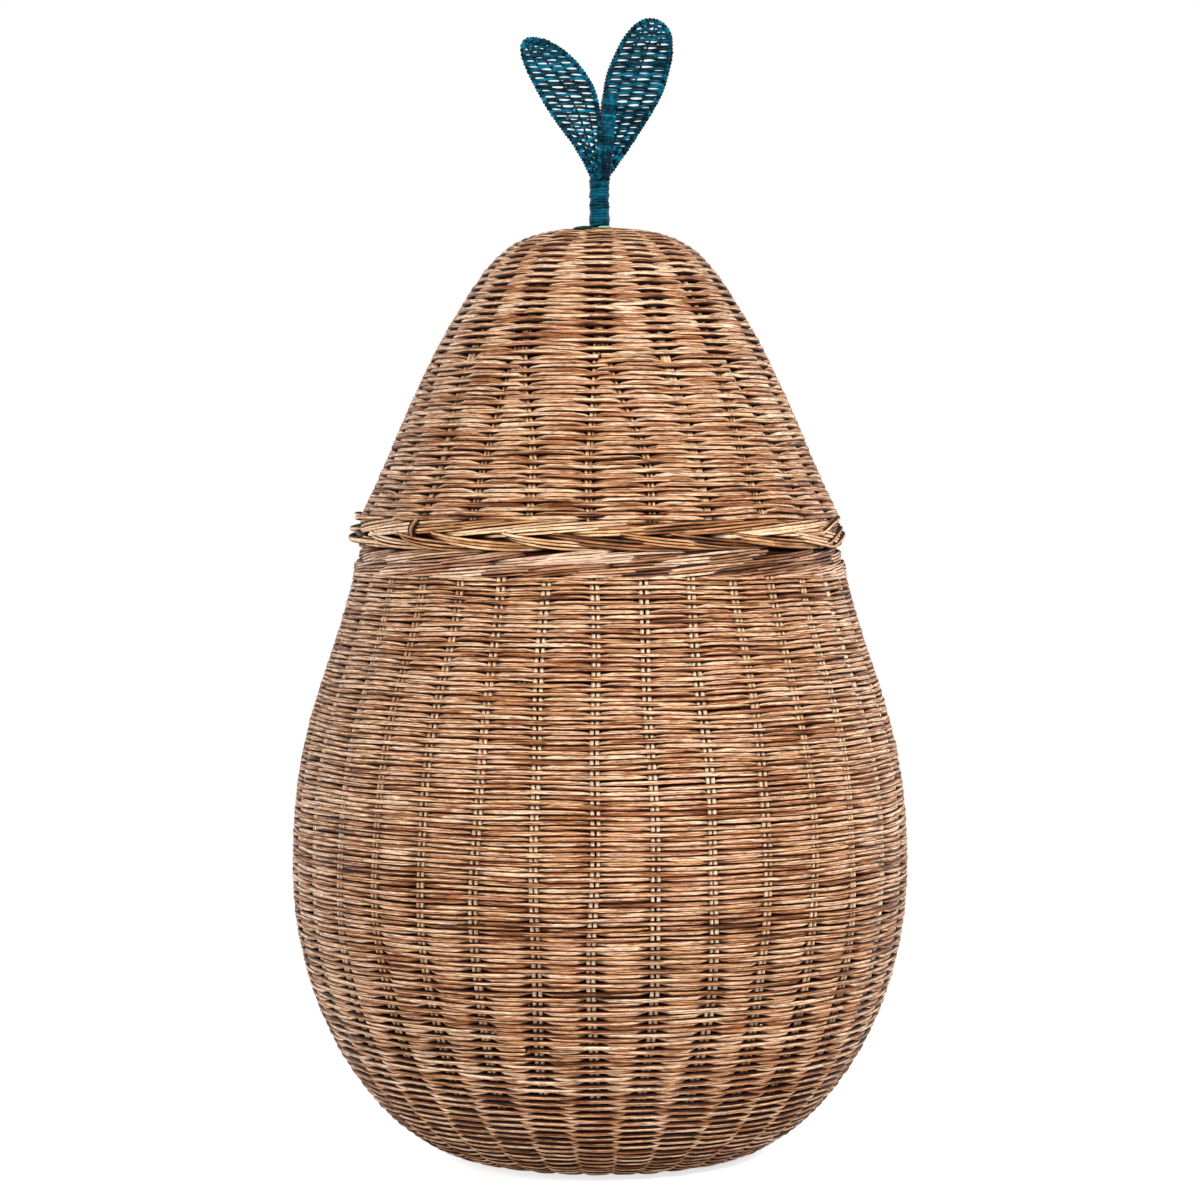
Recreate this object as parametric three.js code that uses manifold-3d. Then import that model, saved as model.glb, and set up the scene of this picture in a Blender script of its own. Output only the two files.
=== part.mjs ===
// Pear-shaped rattan basket: a round woven body on a flat foot and a lift-off lid, the pear's neck,
// with a wound stalk and two net leaves. Millimetres, +Z up, the front faces -Y.
import * as THREE from "three";
import { mergeVertices } from "three/addons/utils/BufferGeometryUtils.js";
import Module from "manifold-3d";

const wasm = await Module();
wasm.setup();

// Rods, and the woven wall that they make
const stakeCrowding = 4.6; // degrees by which a stake at the side stands nearer to the front
const rodDiameter = 2.7; // one stake rod
const weaveThickness = 5.6; // the weavers, in front of and behind the stakes, as one solid layer
const seatGap = 0.3; // between pieces that touch
const stakeGap = 0.4; // between the weave and the stakes on its inner side
const fluteDepth = 1.9; // the weave's outer face lies this much deeper between two stakes

// Body: outer radii and heights of the side weave
const footRadius = 90;
const footLift = 0.6; // the weave starts this far above the floor, the foot wale carries
const bellyRadius = 212;
const bellyHeight = 200;
const bodyTopRadius = 170;
const bodyTopHeight = 400;
// Runs of the two arcs of the side, out and up from the foot, along the belly, and down from the top
const footRun = 60;
const footRise = 7.4;
const underBelly = 104;
const overBelly = 100;
const bodyTopRun = 15;
const bodyTopDrop = 68;
const bodyStakes = 31; // an odd number, so one spiral weaver alternates by itself
const bodyStakeTurn = -1.2; // degrees from the front to the nearest stake
const bodyStakeRods = 2; // rods side by side in a stake

// Foot and base
const footWaleWidth = 17;
const footWaleHeight = 9;
const footWaleLean = 2.2; // its outer face leans in by this much, under the side weave
const baseThickness = 7;
const baseLift = 2; // floor to the underside of the base at its edge
const baseDome = 5; // extra lift at the middle, so that the basket stands on its foot

// Body rim
const waleHeight = 8.6;
const waleWidth = 12;
const borderHeight = 9.7;
const bodyBorderRadius = 166; // outer
const mouthRadius = 154; // inner radius of the body's border

// Lid: outer radii and heights of its weave
const lidBorderRadius = 167.6;
const lidBorderHeight = 11.4;
const lidWaleRadius = 165.6;
const lidWaleHeight = 9.6;
const lidFootRadius = 164.4; // where the lid's weave starts, above its wale
const shoulderRadius = 103.5;
const shoulderHeight = 570;
const shoulderSlope = 60; // degrees from level, up and inwards
const crownHeight = 638;
// Runs of the two arcs of the lid, up from its foot, either side of the shoulder, and at the crown
const lidFootRun = 25.5;
const lidFootRise = 52;
const underShoulder = 58;
const overShoulder = 58;
const crownRun = 55;
const lidRimStakes = 23;
const loneRimStakes = [2, 11, 20]; // each has a bundle to itself; the others share one by twos
const crownTurn = -4.5; // degrees from the middle of a bundle's rim stakes to the bundle
const lidStakeTurn = -2.6; // degrees from the front to the nearest rim stake
const lidBundleRods = 4;
const bundleSpread = 1.5; // room for the bundles at their closest, over an even share of the turn
const forkHeight = 572; // the bundles part below this height

// Locating ring under the lid
const ringClearance = 2.5; // between the ring and the mouth, all round
const ringThickness = 5;
const ringEdge = 0.3; // blunt edge of the rim's rings, as a share of their height
const ringDrop = 22; // how far it reaches into the mouth

// Stalk
const neckX = -0.4; // the stalk stands a little left of the crown's centre
const neckRadius = 6.9; // over the binding
const neckHeight = 31.5; // above the crown
const stemBury = 10; // how far the core reaches down through the crown
const bindingDiameter = 1.8;
const bindingSpacing = 0.54; // least gap between its turns
const stubHeight = 61.5; // above the neck
const stubTopRadius = 5.3;
const stubFootRadius = 2.9;
const stubSwell = 0.5; // in radius, over its lowest fifth
const stubFootX = 3.8;
const stubTopX = 6.8;

// Leaves
const leafRodDiameter = 3.4; // frame rod with its wrapping
const leafFootWidth = 4; // between the legs of a frame, at the neck
const webThickness = 2;
const webGap = 0.6; // between the web and the rod round it
const slotPitch = 8; // along the leaf
const slotHeight = 1.5;
const webMargin = 1.1; // solid net left between a gap and the web's edge
const webFootWidth = 4; // the web starts where the frame's legs are this far apart inside
const slotShare = 0.72; // of its column's width
const leastWebHalf = 4; // no gaps where half the web is narrower than this
const wideWebHalf = 9; // four gaps side by side, not two, from this half width
const leftLeafLength = 108.4;
const leftLeafWidth = 36;
const leftLeafTurn = -26.2; // degrees to the right of upright
const leftLeafLean = -2; // degrees backwards
const leftLeafX = -2.4; // its foot on the neck
const leftLeafY = -2.2;
const leftLeafBow = 9.5; // to the right, at half its length
const leftLeafWidestAt = 0.57; // share of the length from the foot
const leftLeafCurve = { footOut: 0.44, footUp: 0.32, belowWidest: 0.14, aboveWidest: 0.29, tipOut: 0.46 };
const rightLeafLength = 119.6;
const rightLeafWidth = 41;
const rightLeafTurn = 19.6;
const rightLeafLean = 4;
const rightLeafX = -0.2;
const rightLeafY = 5.1;
const rightLeafBow = 0;
const rightLeafWidestAt = 0.61;
const rightLeafCurve = { footOut: 0.2, footUp: 0.1, belowWidest: 0.1, aboveWidest: 0.22, tipOut: 0.75 };

// Mesh fineness
const bodyFacets = 2 * bodyStakes;
const lidFacets = 2 * lidRimStakes;
const bodyLowerSteps = 6;
const bodyUpperSteps = 5;
const lidLowerSteps = 5;
const lidUpperSteps = 4;
const leafSideSteps = 8; // on each of a leaf side's two arcs
const leafFrameSteps = 44;
const bindingSteps = 12; // in each loop
const bindingSides = 5;

const rattanDark = new THREE.MeshStandardMaterial({ color: "#8f6640", roughness: 0.72, metalness: 0 });
const rattanMid = new THREE.MeshStandardMaterial({ color: "#a67848", roughness: 0.7, metalness: 0 });
const rattanLight = new THREE.MeshStandardMaterial({ color: "#bb8d58", roughness: 0.68, metalness: 0 });
const tealPaint = new THREE.MeshStandardMaterial({ color: "#0d6a80", roughness: 0.5, metalness: 0 });

const radians = THREE.MathUtils.degToRad;
const wallDepth = weaveThickness + stakeGap + rodDiameter;

// The angle at which a stake stands, for its even share of the turn.
const crowded = (turn) => turn - stakeCrowding * Math.sin(radians(turn));

function named(name, geometry, material) {
  const mesh = new THREE.Mesh(geometry, material);
  mesh.name = name;
  return mesh;
}

// A closed outline in radius and height, turned about +Z. Angles run from the front towards +X,
// and the first facet is centred on startTurn.
function turned(outline, facets, startTurn = 0) {
  const points = outline.map(([r, z]) => new THREE.Vector2(r, z));
  points.push(points[0].clone());
  const start = radians(startTurn) + Math.PI / facets;
  return new THREE.LatheGeometry(points, facets, start).rotateX(Math.PI / 2);
}

// A ring's section: flat on top and underneath, blunt-edged inside and outside.
function ringSection(inner, outer, low, high) {
  const edge = ringEdge * (high - low);
  const middle = (low + high) / 2;
  return [
    [inner + edge, low],
    [outer - edge, low],
    [outer, middle],
    [outer - edge, high],
    [inner + edge, high],
    [inner, middle],
  ];
}

// Stations along cubic arcs: radius, height and the outward normal at each.
function stationsAlong(arcs) {
  const stations = [];
  arcs.forEach(({ points, steps }, k) => {
    const curve = new THREE.CubicBezierCurve(...points.map(([r, z]) => new THREE.Vector2(r, z)));
    for (let i = k ? 1 : 0; i <= steps; i++) {
      const p = curve.getPoint(i / steps);
      const t = curve.getTangent(i / steps);
      stations.push({ r: p.x, z: p.y, nr: t.y, nz: -t.x });
    }
  });
  return stations;
}

const inwards = (s, depth) => [s.r - depth * s.nr, s.z - depth * s.nz];

// The outline between two depths under the outer face, from one end of the stations to the other.
function layer(stations, outerDepth, innerDepth) {
  const outer = stations.map((s) => inwards(s, outerDepth));
  const inner = stations.map((s) => inwards(s, innerDepth));
  return [...outer, ...inner.reverse()];
}

function makeLevel(station) {
  station.nr = 1;
  station.nz = 0;
}

const bodyStations = stationsAlong([
  {
    points: [
      [footRadius, footLift],
      [footRadius + footRun, footLift + footRise],
      [bellyRadius, bellyHeight - underBelly],
      [bellyRadius, bellyHeight],
    ],
    steps: bodyLowerSteps,
  },
  {
    points: [
      [bellyRadius, bellyHeight],
      [bellyRadius, bellyHeight + overBelly],
      [bodyTopRadius + bodyTopRun, bodyTopHeight - bodyTopDrop],
      [bodyTopRadius, bodyTopHeight],
    ],
    steps: bodyUpperSteps,
  },
]);
makeLevel(bodyStations.at(-1));

// Heights of the rim stack, from the body's weave up to the lid's
const bodyWaleLow = bodyTopHeight + seatGap;
const bodyWaleHigh = bodyWaleLow + waleHeight;
const bodyBorderLow = bodyWaleHigh + seatGap;
const seamHeight = bodyBorderLow + borderHeight;
const lidBorderLow = seamHeight + seatGap;
const lidBorderHigh = lidBorderLow + lidBorderHeight;
const lidWaleLow = lidBorderHigh + seatGap;
const lidWaleHigh = lidWaleLow + lidWaleHeight;
const lidWeaveLow = lidWaleHigh + seatGap;

const neckTopHeight = crownHeight + neckHeight;
const stemCoreRadius = neckRadius - bindingDiameter - stakeGap;
const crownHoleRadius = stemCoreRadius + Math.abs(neckX) + seatGap;
const shoulderDirection = [-Math.cos(radians(shoulderSlope)), Math.sin(radians(shoulderSlope))];
const shoulder = [shoulderRadius, shoulderHeight];
const alongShoulder = (d) => shoulder.map((v, i) => v + d * shoulderDirection[i]);
const lidStations = stationsAlong([
  {
    points: [
      [lidFootRadius, lidWeaveLow],
      [lidFootRadius - lidFootRun, lidWeaveLow + lidFootRise],
      alongShoulder(-underShoulder),
      shoulder,
    ],
    steps: lidLowerSteps,
  },
  {
    points: [
      shoulder,
      alongShoulder(overShoulder),
      [crownHoleRadius + crownRun, crownHeight],
      [crownHoleRadius, crownHeight],
    ],
    steps: lidUpperSteps,
  },
]);
makeLevel(lidStations[0]);

// Solids that are joined: manifold-3d only adds and cuts.
function solidOf(geometry) {
  const bare = geometry.clone();
  bare.deleteAttribute("normal");
  bare.deleteAttribute("uv");
  const merged = mergeVertices(bare, 1e-3);
  const mesh = new wasm.Mesh({
    numProp: 3,
    vertProperties: new Float32Array(merged.attributes.position.array),
    triVerts: new Uint32Array(merged.index.array),
  });
  return new wasm.Manifold(mesh);
}

function joined(geometries) {
  const sum = geometries.map(solidOf).reduce((a, b) => a.add(b));
  const mesh = sum.getMesh();
  const geometry = new THREE.BufferGeometry();
  geometry.setAttribute("position", new THREE.BufferAttribute(mesh.vertProperties, 3));
  geometry.setIndex(new THREE.BufferAttribute(mesh.triVerts, 1));
  geometry.computeVertexNormals();
  return geometry;
}

// A flat band of rods on the weave's inner side. The strip is extruded across its width, then each
// point is bent round +Z; turnAt gives the band's angle at a height.
function stakeBand(stations, rods, facets, turnAt) {
  const depth = weaveThickness + stakeGap;
  const outline = layer(stations, depth, depth + rodDiameter);
  const shape = new THREE.Shape(outline.map(([r, z]) => new THREE.Vector2(r, z)));
  const width = rods * rodDiameter;
  const strip = new THREE.ExtrudeGeometry(shape, { depth: width, bevelEnabled: false });
  const inscribed = Math.cos(Math.PI / facets);
  const position = strip.getAttribute("position");
  for (let i = 0; i < position.count; i++) {
    const r = position.getX(i) * inscribed;
    const z = position.getY(i);
    const angle = radians(turnAt(z)) - (position.getZ(i) - width / 2) / r;
    position.setXYZ(i, r * Math.sin(angle), -r * Math.cos(angle), z);
  }
  return strip;
}

// How far a turn is from the nearest ridge: 0 at it, 1 from half a spacing away.
function betweenRidges(turn, ridges) {
  const apart = ridges.map((ridge) => {
    return Math.abs(THREE.MathUtils.euclideanModulo(turn - ridge + 180, 360) - 180);
  });
  const share = Math.min(1, (Math.min(...apart) * ridges.length) / 180);
  return Math.sin((Math.PI / 2) * share) ** 2;
}

// The weave as one solid layer with a fluted outer face, full at the ridges, where the weavers pass
// over the stakes. ridgesAt gives their turns at a height; within mergeRadius they run together.
function flutedWeave(stations, facets, startTurn, ridgesAt, mergeRadius = 0) {
  const outline = layer(stations, 0, weaveThickness);
  const geometry = turned(outline, facets, startTurn);
  const position = geometry.getAttribute("position");
  const rows = outline.length + 1;
  for (let k = 0; k < position.count; k++) {
    const turn = crowded(startTurn + (Math.floor(k / rows) * 360) / facets);
    const j = (k % rows) % outline.length;
    const outer = j < stations.length;
    const station = stations[outer ? j : outline.length - 1 - j];
    const flute = fluteDepth * Math.min(1, station.r / mergeRadius);
    const depth = outer ? flute * betweenRidges(turn, ridgesAt(station.z)) : weaveThickness;
    const [r, z] = inwards(station, depth);
    position.setXYZ(k, r * Math.sin(radians(turn)), -r * Math.cos(radians(turn)), z);
  }
  geometry.computeVertexNormals();
  return geometry;
}

// Body
const footWaleOuter = footRadius - stakeGap;
const footWaleInner = footWaleOuter - footWaleWidth;
const footWale = turned(
  [
    [footWaleInner, 0],
    [footWaleOuter, 0],
    [footWaleOuter - footWaleLean, footWaleHeight],
    [footWaleInner, footWaleHeight],
  ],
  bodyFacets,
  bodyStakeTurn,
);

const baseRadius = footWaleInner - stakeGap;
const baseRise = (r) => baseLift + baseDome * Math.cos((Math.PI / 2) * (r / baseRadius));
const baseRadii = [0, baseRadius / 2, baseRadius];
const baseWeave = turned(
  [
    ...baseRadii.map((r) => [r, baseRise(r)]),
    ...baseRadii.reverse().map((r) => [r, baseRise(r) + baseThickness]),
  ],
  bodyFacets,
  bodyStakeTurn,
);

const bodyTurns = Array.from({ length: bodyStakes }, (_, j) => {
  return crowded(bodyStakeTurn + (j * 360) / bodyStakes);
});
const sideWeave = flutedWeave(bodyStations, bodyFacets, bodyStakeTurn, () => bodyTurns);
const bodyWale = turned(
  ringSection(bodyTopRadius - waleWidth, bodyTopRadius, bodyWaleLow, bodyWaleHigh),
  bodyFacets,
  bodyStakeTurn,
);
const bodyBorder = turned(
  ringSection(mouthRadius, bodyBorderRadius, bodyBorderLow, seamHeight),
  bodyFacets,
  bodyStakeTurn,
);

const body = new THREE.Group();
body.add(
  named("base_weave", baseWeave, rattanDark),
  named("foot_wale", footWale, rattanDark),
  named("side_weave", sideWeave, rattanMid),
  named("body_rim_wale", bodyWale, rattanMid),
  named("body_rim_border", bodyBorder, rattanMid),
);
bodyTurns.forEach((turn, j) => {
  const stake = stakeBand(bodyStations, bodyStakeRods, bodyFacets, () => turn);
  body.add(named("body_stake_" + String(j + 1).padStart(2, "0"), stake, rattanDark));
});

// Lid
// The rim stakes of each bundle: one, or two that part at the fork.
const rimTurn = (j) => crowded(lidStakeTurn + (j * 360) / lidRimStakes);
const bundles = [];
for (let j = 0; j < lidRimStakes; j++) {
  const alone = loneRimStakes.includes(j);
  bundles.push(alone ? [j] : [j, j + 1]);
  if (!alone) j++;
}
const bundleWidth = lidBundleRods * rodDiameter;
const leastCrownRadius = (bundleSpread * bundles.length * (bundleWidth + 2 * seatGap)) / (2 * Math.PI);
const forkAt = lidStations.findLastIndex((s) => s.z <= forkHeight);
const forkStation = lidStations[forkAt];
const trunkStations = lidStations
  .slice(forkAt - 1)
  .filter((s) => s.r - wallDepth * s.nr > leastCrownRadius);
const bundleTurn = (rim) => crownTurn + rim.reduce((sum, j) => sum + rimTurn(j), 0) / rim.length;

// The turn of rim stake j at a height, from its half of the bundle at the fork to its place at the rim.
function branchTurn(rim, j, z) {
  const side = rim.length === 1 ? 0 : rim.indexOf(j) * 2 - 1;
  const forkRadius = forkStation.r - wallDepth;
  const forkTurn = bundleTurn(rim) + (side * THREE.MathUtils.radToDeg(bundleWidth / 4)) / forkRadius;
  const down = THREE.MathUtils.clamp((forkStation.z - z) / (forkStation.z - lidWeaveLow), 0, 1);
  return THREE.MathUtils.lerp(forkTurn, rimTurn(j), down);
}

const lidRidges = (z) => {
  if (z > forkStation.z) return bundles.map(bundleTurn);
  return bundles.flatMap((rim) => rim.map((j) => branchTurn(rim, j, z)));
};
const lidWeave = flutedWeave(lidStations, lidFacets, lidStakeTurn, lidRidges, leastCrownRadius);

const ringOuter = mouthRadius - ringClearance;
const lid = new THREE.Group();
lid.add(
  named("lid_weave", lidWeave, rattanLight),
  named(
    "lid_rim_wale",
    turned(
      ringSection(lidWaleRadius - waleWidth, lidWaleRadius, lidWaleLow, lidWaleHigh),
      lidFacets,
      lidStakeTurn,
    ),
    rattanLight,
  ),
  named(
    "lid_rim_border",
    turned(
      ringSection(ringOuter + seatGap, lidBorderRadius, lidBorderLow, lidBorderHigh),
      lidFacets,
      lidStakeTurn,
    ),
    rattanLight,
  ),
  named(
    "locating_ring",
    turned(
      [
        [ringOuter - ringThickness, seamHeight - ringDrop],
        [ringOuter, seamHeight - ringDrop],
        [ringOuter, lidBorderHigh],
        [ringOuter - ringThickness, lidBorderHigh],
      ],
      lidFacets,
      lidStakeTurn,
    ),
    rattanLight,
  ),
);

bundles.forEach((rim, k) => {
  const trunk = stakeBand(trunkStations, lidBundleRods, lidFacets, () => bundleTurn(rim));
  const branchStations = lidStations.slice(0, forkAt + 1);
  const branches = rim.map((j) => {
    const turnAt = (z) => branchTurn(rim, j, z);
    return stakeBand(branchStations, lidBundleRods / rim.length, lidFacets, turnAt);
  });
  lid.add(named("lid_stake_" + String(k + 1).padStart(2, "0"), joined([trunk, ...branches]), rattanDark));
});

// Stalk: the core of rods, its binding and the stub
const stemCore = new THREE.CylinderGeometry(
  stemCoreRadius,
  stemCoreRadius,
  neckHeight + stemBury,
  16,
);
stemCore.rotateX(Math.PI / 2).translate(0, 0, (neckTopHeight + crownHeight - stemBury) / 2);

// The binding is one tube wound round the core, with a short straight end up and down. Its section
// stands on the direction away from the core.
function bindingPath() {
  const radius = neckRadius - bindingDiameter / 2;
  const bend = bindingDiameter / 2;
  const low = crownHeight + seatGap + bindingDiameter + bend;
  const high = neckTopHeight - bindingDiameter - bend;
  const at = (turn, z) => new THREE.Vector3(radius * Math.sin(turn), -radius * Math.cos(turn), z);
  const lead = bend / radius;
  const loops = Math.floor((high - low) / (bindingDiameter + bindingSpacing));
  const last = 2 * Math.PI * loops;
  const points = [at(-lead, low - bend - bindingDiameter), at(-lead, low - bend)];
  const steps = loops * bindingSteps;
  for (let i = 0; i <= steps; i++) {
    points.push(at((i / steps) * last, low + (i / steps) * (high - low)));
  }
  points.push(at(last + lead, high + bend), at(last + lead, high + bend + bindingDiameter));
  return points;
}

// A tube of a few sides along points wound about +Z, closed at both ends.
function woundTube(points, diameter, sides) {
  const vertices = [];
  const faces = [];
  points.forEach((p, i) => {
    const before = points[Math.max(i - 1, 0)];
    const after = points[Math.min(i + 1, points.length - 1)];
    const along = after.clone().sub(before).normalize();
    const out = new THREE.Vector3(p.x, p.y, 0).normalize();
    const across = along.clone().cross(out).normalize();
    for (let s = 0; s < sides; s++) {
      const a = (2 * Math.PI * s) / sides;
      const v = p.clone().addScaledVector(out, (Math.cos(a) * diameter) / 2);
      vertices.push(...v.addScaledVector(across, (Math.sin(a) * diameter) / 2).toArray());
    }
  });
  const ring = (i, s) => i * sides + (s % sides);
  for (let i = 0; i + 1 < points.length; i++) {
    for (let s = 0; s < sides; s++) {
      faces.push(ring(i, s), ring(i, s + 1), ring(i + 1, s));
      faces.push(ring(i, s + 1), ring(i + 1, s + 1), ring(i + 1, s));
    }
  }
  const lastRing = points.length - 1;
  for (let s = 1; s + 1 < sides; s++) {
    faces.push(ring(0, 0), ring(0, s + 1), ring(0, s));
    faces.push(ring(lastRing, 0), ring(lastRing, s), ring(lastRing, s + 1));
  }
  const geometry = new THREE.BufferGeometry();
  geometry.setAttribute("position", new THREE.Float32BufferAttribute(vertices, 3));
  geometry.setIndex(faces);
  geometry.computeVertexNormals();
  return geometry;
}

// The least gap between turns of a wound tube, measured between points half a loop or more apart.
function leastSelfGap(points, diameter, apart) {
  let least = Infinity;
  for (let i = 0; i < points.length; i++) {
    for (let j = i + apart; j < points.length; j++) {
      least = Math.min(least, points[i].distanceTo(points[j]));
    }
  }
  return least - diameter;
}

const bindingPoints = bindingPath();
const bindingGap = leastSelfGap(bindingPoints, bindingDiameter, bindingSteps / 2);
console.log("binding: least gap to itself " + bindingGap.toFixed(2) + " mm");

const stubLength = stubHeight - 2 * seatGap;
const stub = turned(
  [
    [0, 0],
    [stubFootRadius, 0],
    [stubFootRadius + stubSwell, 0.2 * stubLength],
    [stubTopRadius, 0.85 * stubLength],
    [stubTopRadius, 0.97 * stubLength],
    [0.6 * stubTopRadius, stubLength],
    [0, stubLength],
  ],
  12,
);
const stubMesh = named("stem_stub", stub, tealPaint);
stubMesh.position.set(stubFootX - neckX, 0, neckTopHeight + 2 * seatGap);
stubMesh.rotation.y = Math.atan2(stubTopX - stubFootX, stubLength);

const stalk = new THREE.Group();
stalk.position.x = neckX;
stalk.add(
  named("stem_core", stemCore, tealPaint),
  named("stem_binding", woundTube(bindingPoints, bindingDiameter, bindingSides), tealPaint),
  stubMesh,
);
lid.add(stalk);

// One side of a leaf, from its foot to its tip, drawn in by inset from the outer edge.
function leafSide({ length, width, widestAt, curve }, inset) {
  const half = width / 2;
  const foot = (leafFootWidth + leafRodDiameter) / 2;
  const widest = widestAt * length;
  const lower = new THREE.CubicBezierCurve(
    new THREE.Vector2(foot, 0),
    new THREE.Vector2(foot + curve.footOut * half, curve.footUp * length),
    new THREE.Vector2(half, widest - curve.belowWidest * length),
    new THREE.Vector2(half, widest),
  );
  const upper = new THREE.CubicBezierCurve(
    new THREE.Vector2(half, widest),
    new THREE.Vector2(half, widest + curve.aboveWidest * length),
    new THREE.Vector2(curve.tipOut * half, length),
    new THREE.Vector2(0, length),
  );
  const points = [];
  for (const arc of [lower, upper]) {
    for (let i = arc === lower ? 0 : 1; i <= leafSideSteps; i++) {
      const p = arc.getPoint(i / leafSideSteps);
      const t = arc.getTangent(i / leafSideSteps);
      points.push(new THREE.Vector2(p.x - inset * t.y, p.y + inset * t.x));
    }
  }
  points[0].y = 0;
  points.at(-1).x = 0;
  return points;
}

const mirrored = (points) => points.map((p) => new THREE.Vector2(-p.x, p.y));

// A point of a leaf, moved sideways along the bow of its length.
function bowed({ length, bow }, p) {
  const share = p.y / length;
  return new THREE.Vector2(p.x + 4 * bow * share * (1 - share), p.y);
}

// The frame: one rod bent up from the neck, over the tip and down again.
function leafFrame(leaf) {
  const side = leafSide(leaf, leafRodDiameter / 2);
  const loop = [...side, ...mirrored(side).reverse().slice(1)].map((p) => bowed(leaf, p));
  const path = new THREE.CatmullRomCurve3(loop.map((p) => new THREE.Vector3(p.x, p.y, 0)));
  const section = new THREE.Shape();
  for (let s = 0; s < 6; s++) {
    const a = (Math.PI * (s + 0.5)) / 3;
    const move = s ? "lineTo" : "moveTo";
    section[move]((Math.cos(a) * leafRodDiameter) / 2, (Math.sin(a) * leafRodDiameter) / 2);
  }
  const options = { steps: leafFrameSteps, bevelEnabled: false, extrudePath: path };
  return new THREE.ExtrudeGeometry(section, options);
}

// The web: a thin flat net inside the frame, its gaps in four columns between the ribs.
function leafWeb(leaf) {
  const side = leafSide(leaf, leafRodDiameter + webGap).filter(
    (p, i, all) => i > 0 && (p.x > webFootWidth / 2 || i === all.length - 1),
  );
  const edge = [...side, ...mirrored(side).reverse().slice(1)];
  const outline = new THREE.Shape(edge.map((p) => bowed(leaf, p)));
  const halfAt = (y) => {
    const k = side.findIndex((p) => p.y >= y);
    if (k < 1) return 0;
    const [a, b] = [side[k - 1], side[k]];
    return THREE.MathUtils.mapLinear(y, a.y, b.y, a.x, b.x);
  };
  for (let y = side[0].y + slotPitch; y < side.at(-1).y - slotHeight - webMargin; y += slotPitch) {
    const room = Math.min(halfAt(y - slotHeight / 2), halfAt(y + slotHeight / 2)) - webMargin;
    if (room < leastWebHalf) continue;
    const columns = room > wideWebHalf ? [-0.75, -0.25, 0.25, 0.75] : [-0.5, 0.5];
    const reach = (room / columns.length) * slotShare;
    for (const c of columns) {
      const x = c * room;
      const slot = [
        [x - reach, y],
        [x, y - slotHeight / 2],
        [x + reach, y],
        [x, y + slotHeight / 2],
      ];
      const corners = slot.map(([u, v]) => bowed(leaf, new THREE.Vector2(u, v)));
      outline.holes.push(new THREE.Path(corners));
    }
  }
  const web = new THREE.ExtrudeGeometry(outline, { depth: webThickness, bevelEnabled: false });
  return web.translate(0, 0, -webThickness / 2);
}

// A leaf on the neck: turned to its side, then leant back.
function leafGroup(side, leaf) {
  const frame = named("leaf_" + side + "_frame", leafFrame(leaf), tealPaint);
  const web = named("leaf_" + side + "_web", leafWeb(leaf), tealPaint);
  for (const mesh of [frame, web]) mesh.rotation.x = Math.PI / 2 - radians(leaf.lean);
  const group = new THREE.Group();
  group.add(frame, web);
  group.position.set(leaf.x, leaf.y, neckTopHeight + 4 * seatGap);
  group.rotation.y = radians(leaf.turn);
  return group;
}

lid.add(
  leafGroup("left", {
    length: leftLeafLength,
    width: leftLeafWidth,
    turn: leftLeafTurn,
    lean: leftLeafLean,
    x: leftLeafX,
    y: leftLeafY,
    bow: leftLeafBow,
    widestAt: leftLeafWidestAt,
    curve: leftLeafCurve,
  }),
  leafGroup("right", {
    length: rightLeafLength,
    width: rightLeafWidth,
    turn: rightLeafTurn,
    lean: rightLeafLean,
    x: rightLeafX,
    y: rightLeafY,
    bow: rightLeafBow,
    widestAt: rightLeafWidestAt,
    curve: rightLeafCurve,
  }),
);

const basket = new THREE.Group();
basket.add(body, lid);
export default basket;
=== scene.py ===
import bpy
import numpy as np
from math import asin, atan, atan2, cos, hypot, pi, radians, sin, tan
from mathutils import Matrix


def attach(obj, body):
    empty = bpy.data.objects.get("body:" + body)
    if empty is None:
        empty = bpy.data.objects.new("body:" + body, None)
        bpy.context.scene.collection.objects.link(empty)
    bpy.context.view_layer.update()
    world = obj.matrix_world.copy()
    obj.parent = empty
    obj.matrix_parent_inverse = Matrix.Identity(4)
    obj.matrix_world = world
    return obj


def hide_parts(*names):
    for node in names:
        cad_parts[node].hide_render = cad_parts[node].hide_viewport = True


# Pear-shaped rattan basket: every weaver, stake and rim strand is its own rod, laid over the CAD frame.

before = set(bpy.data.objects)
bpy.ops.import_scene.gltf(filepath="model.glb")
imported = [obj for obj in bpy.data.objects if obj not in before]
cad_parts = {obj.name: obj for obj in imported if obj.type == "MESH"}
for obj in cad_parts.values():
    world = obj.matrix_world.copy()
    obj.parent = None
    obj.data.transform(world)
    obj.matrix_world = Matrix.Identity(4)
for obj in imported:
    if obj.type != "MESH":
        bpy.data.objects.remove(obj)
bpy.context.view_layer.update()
seeded = np.random.default_rng
rng = seeded(11)
mm = 0.001


# Helpers

def linear(hexColour):
    # sRGB hex to the linear colour that the shaders take
    srgb = [int(hexColour[i:i + 2], 16) / 255 for i in (1, 3, 5)]
    return [c / 12.92 if c <= 0.04045 else ((c + 0.055) / 1.055) ** 2.4 for c in srgb] + [1]


def feed(tree, node, values):
    # sets a node's inputs and properties; a value that is another node's output is linked
    for key, value in values.items():
        if isinstance(value, bpy.types.NodeSocket):
            tree.links.new(value, node.inputs[key])
        elif isinstance(key, int) or key in node.inputs:
            node.inputs[key].default_value = value
        else:
            setattr(node, key, value)


def added(tree, kind, values, output=0):
    # one output of a new shader node
    node = tree.nodes.new("ShaderNode" + kind)
    feed(tree, node, values)
    return node.outputs[output]


def maths(tree, operation, *values):
    # an operation on outputs and numbers
    return added(tree, "Math", {"operation": operation, **dict(enumerate(values))})


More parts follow.
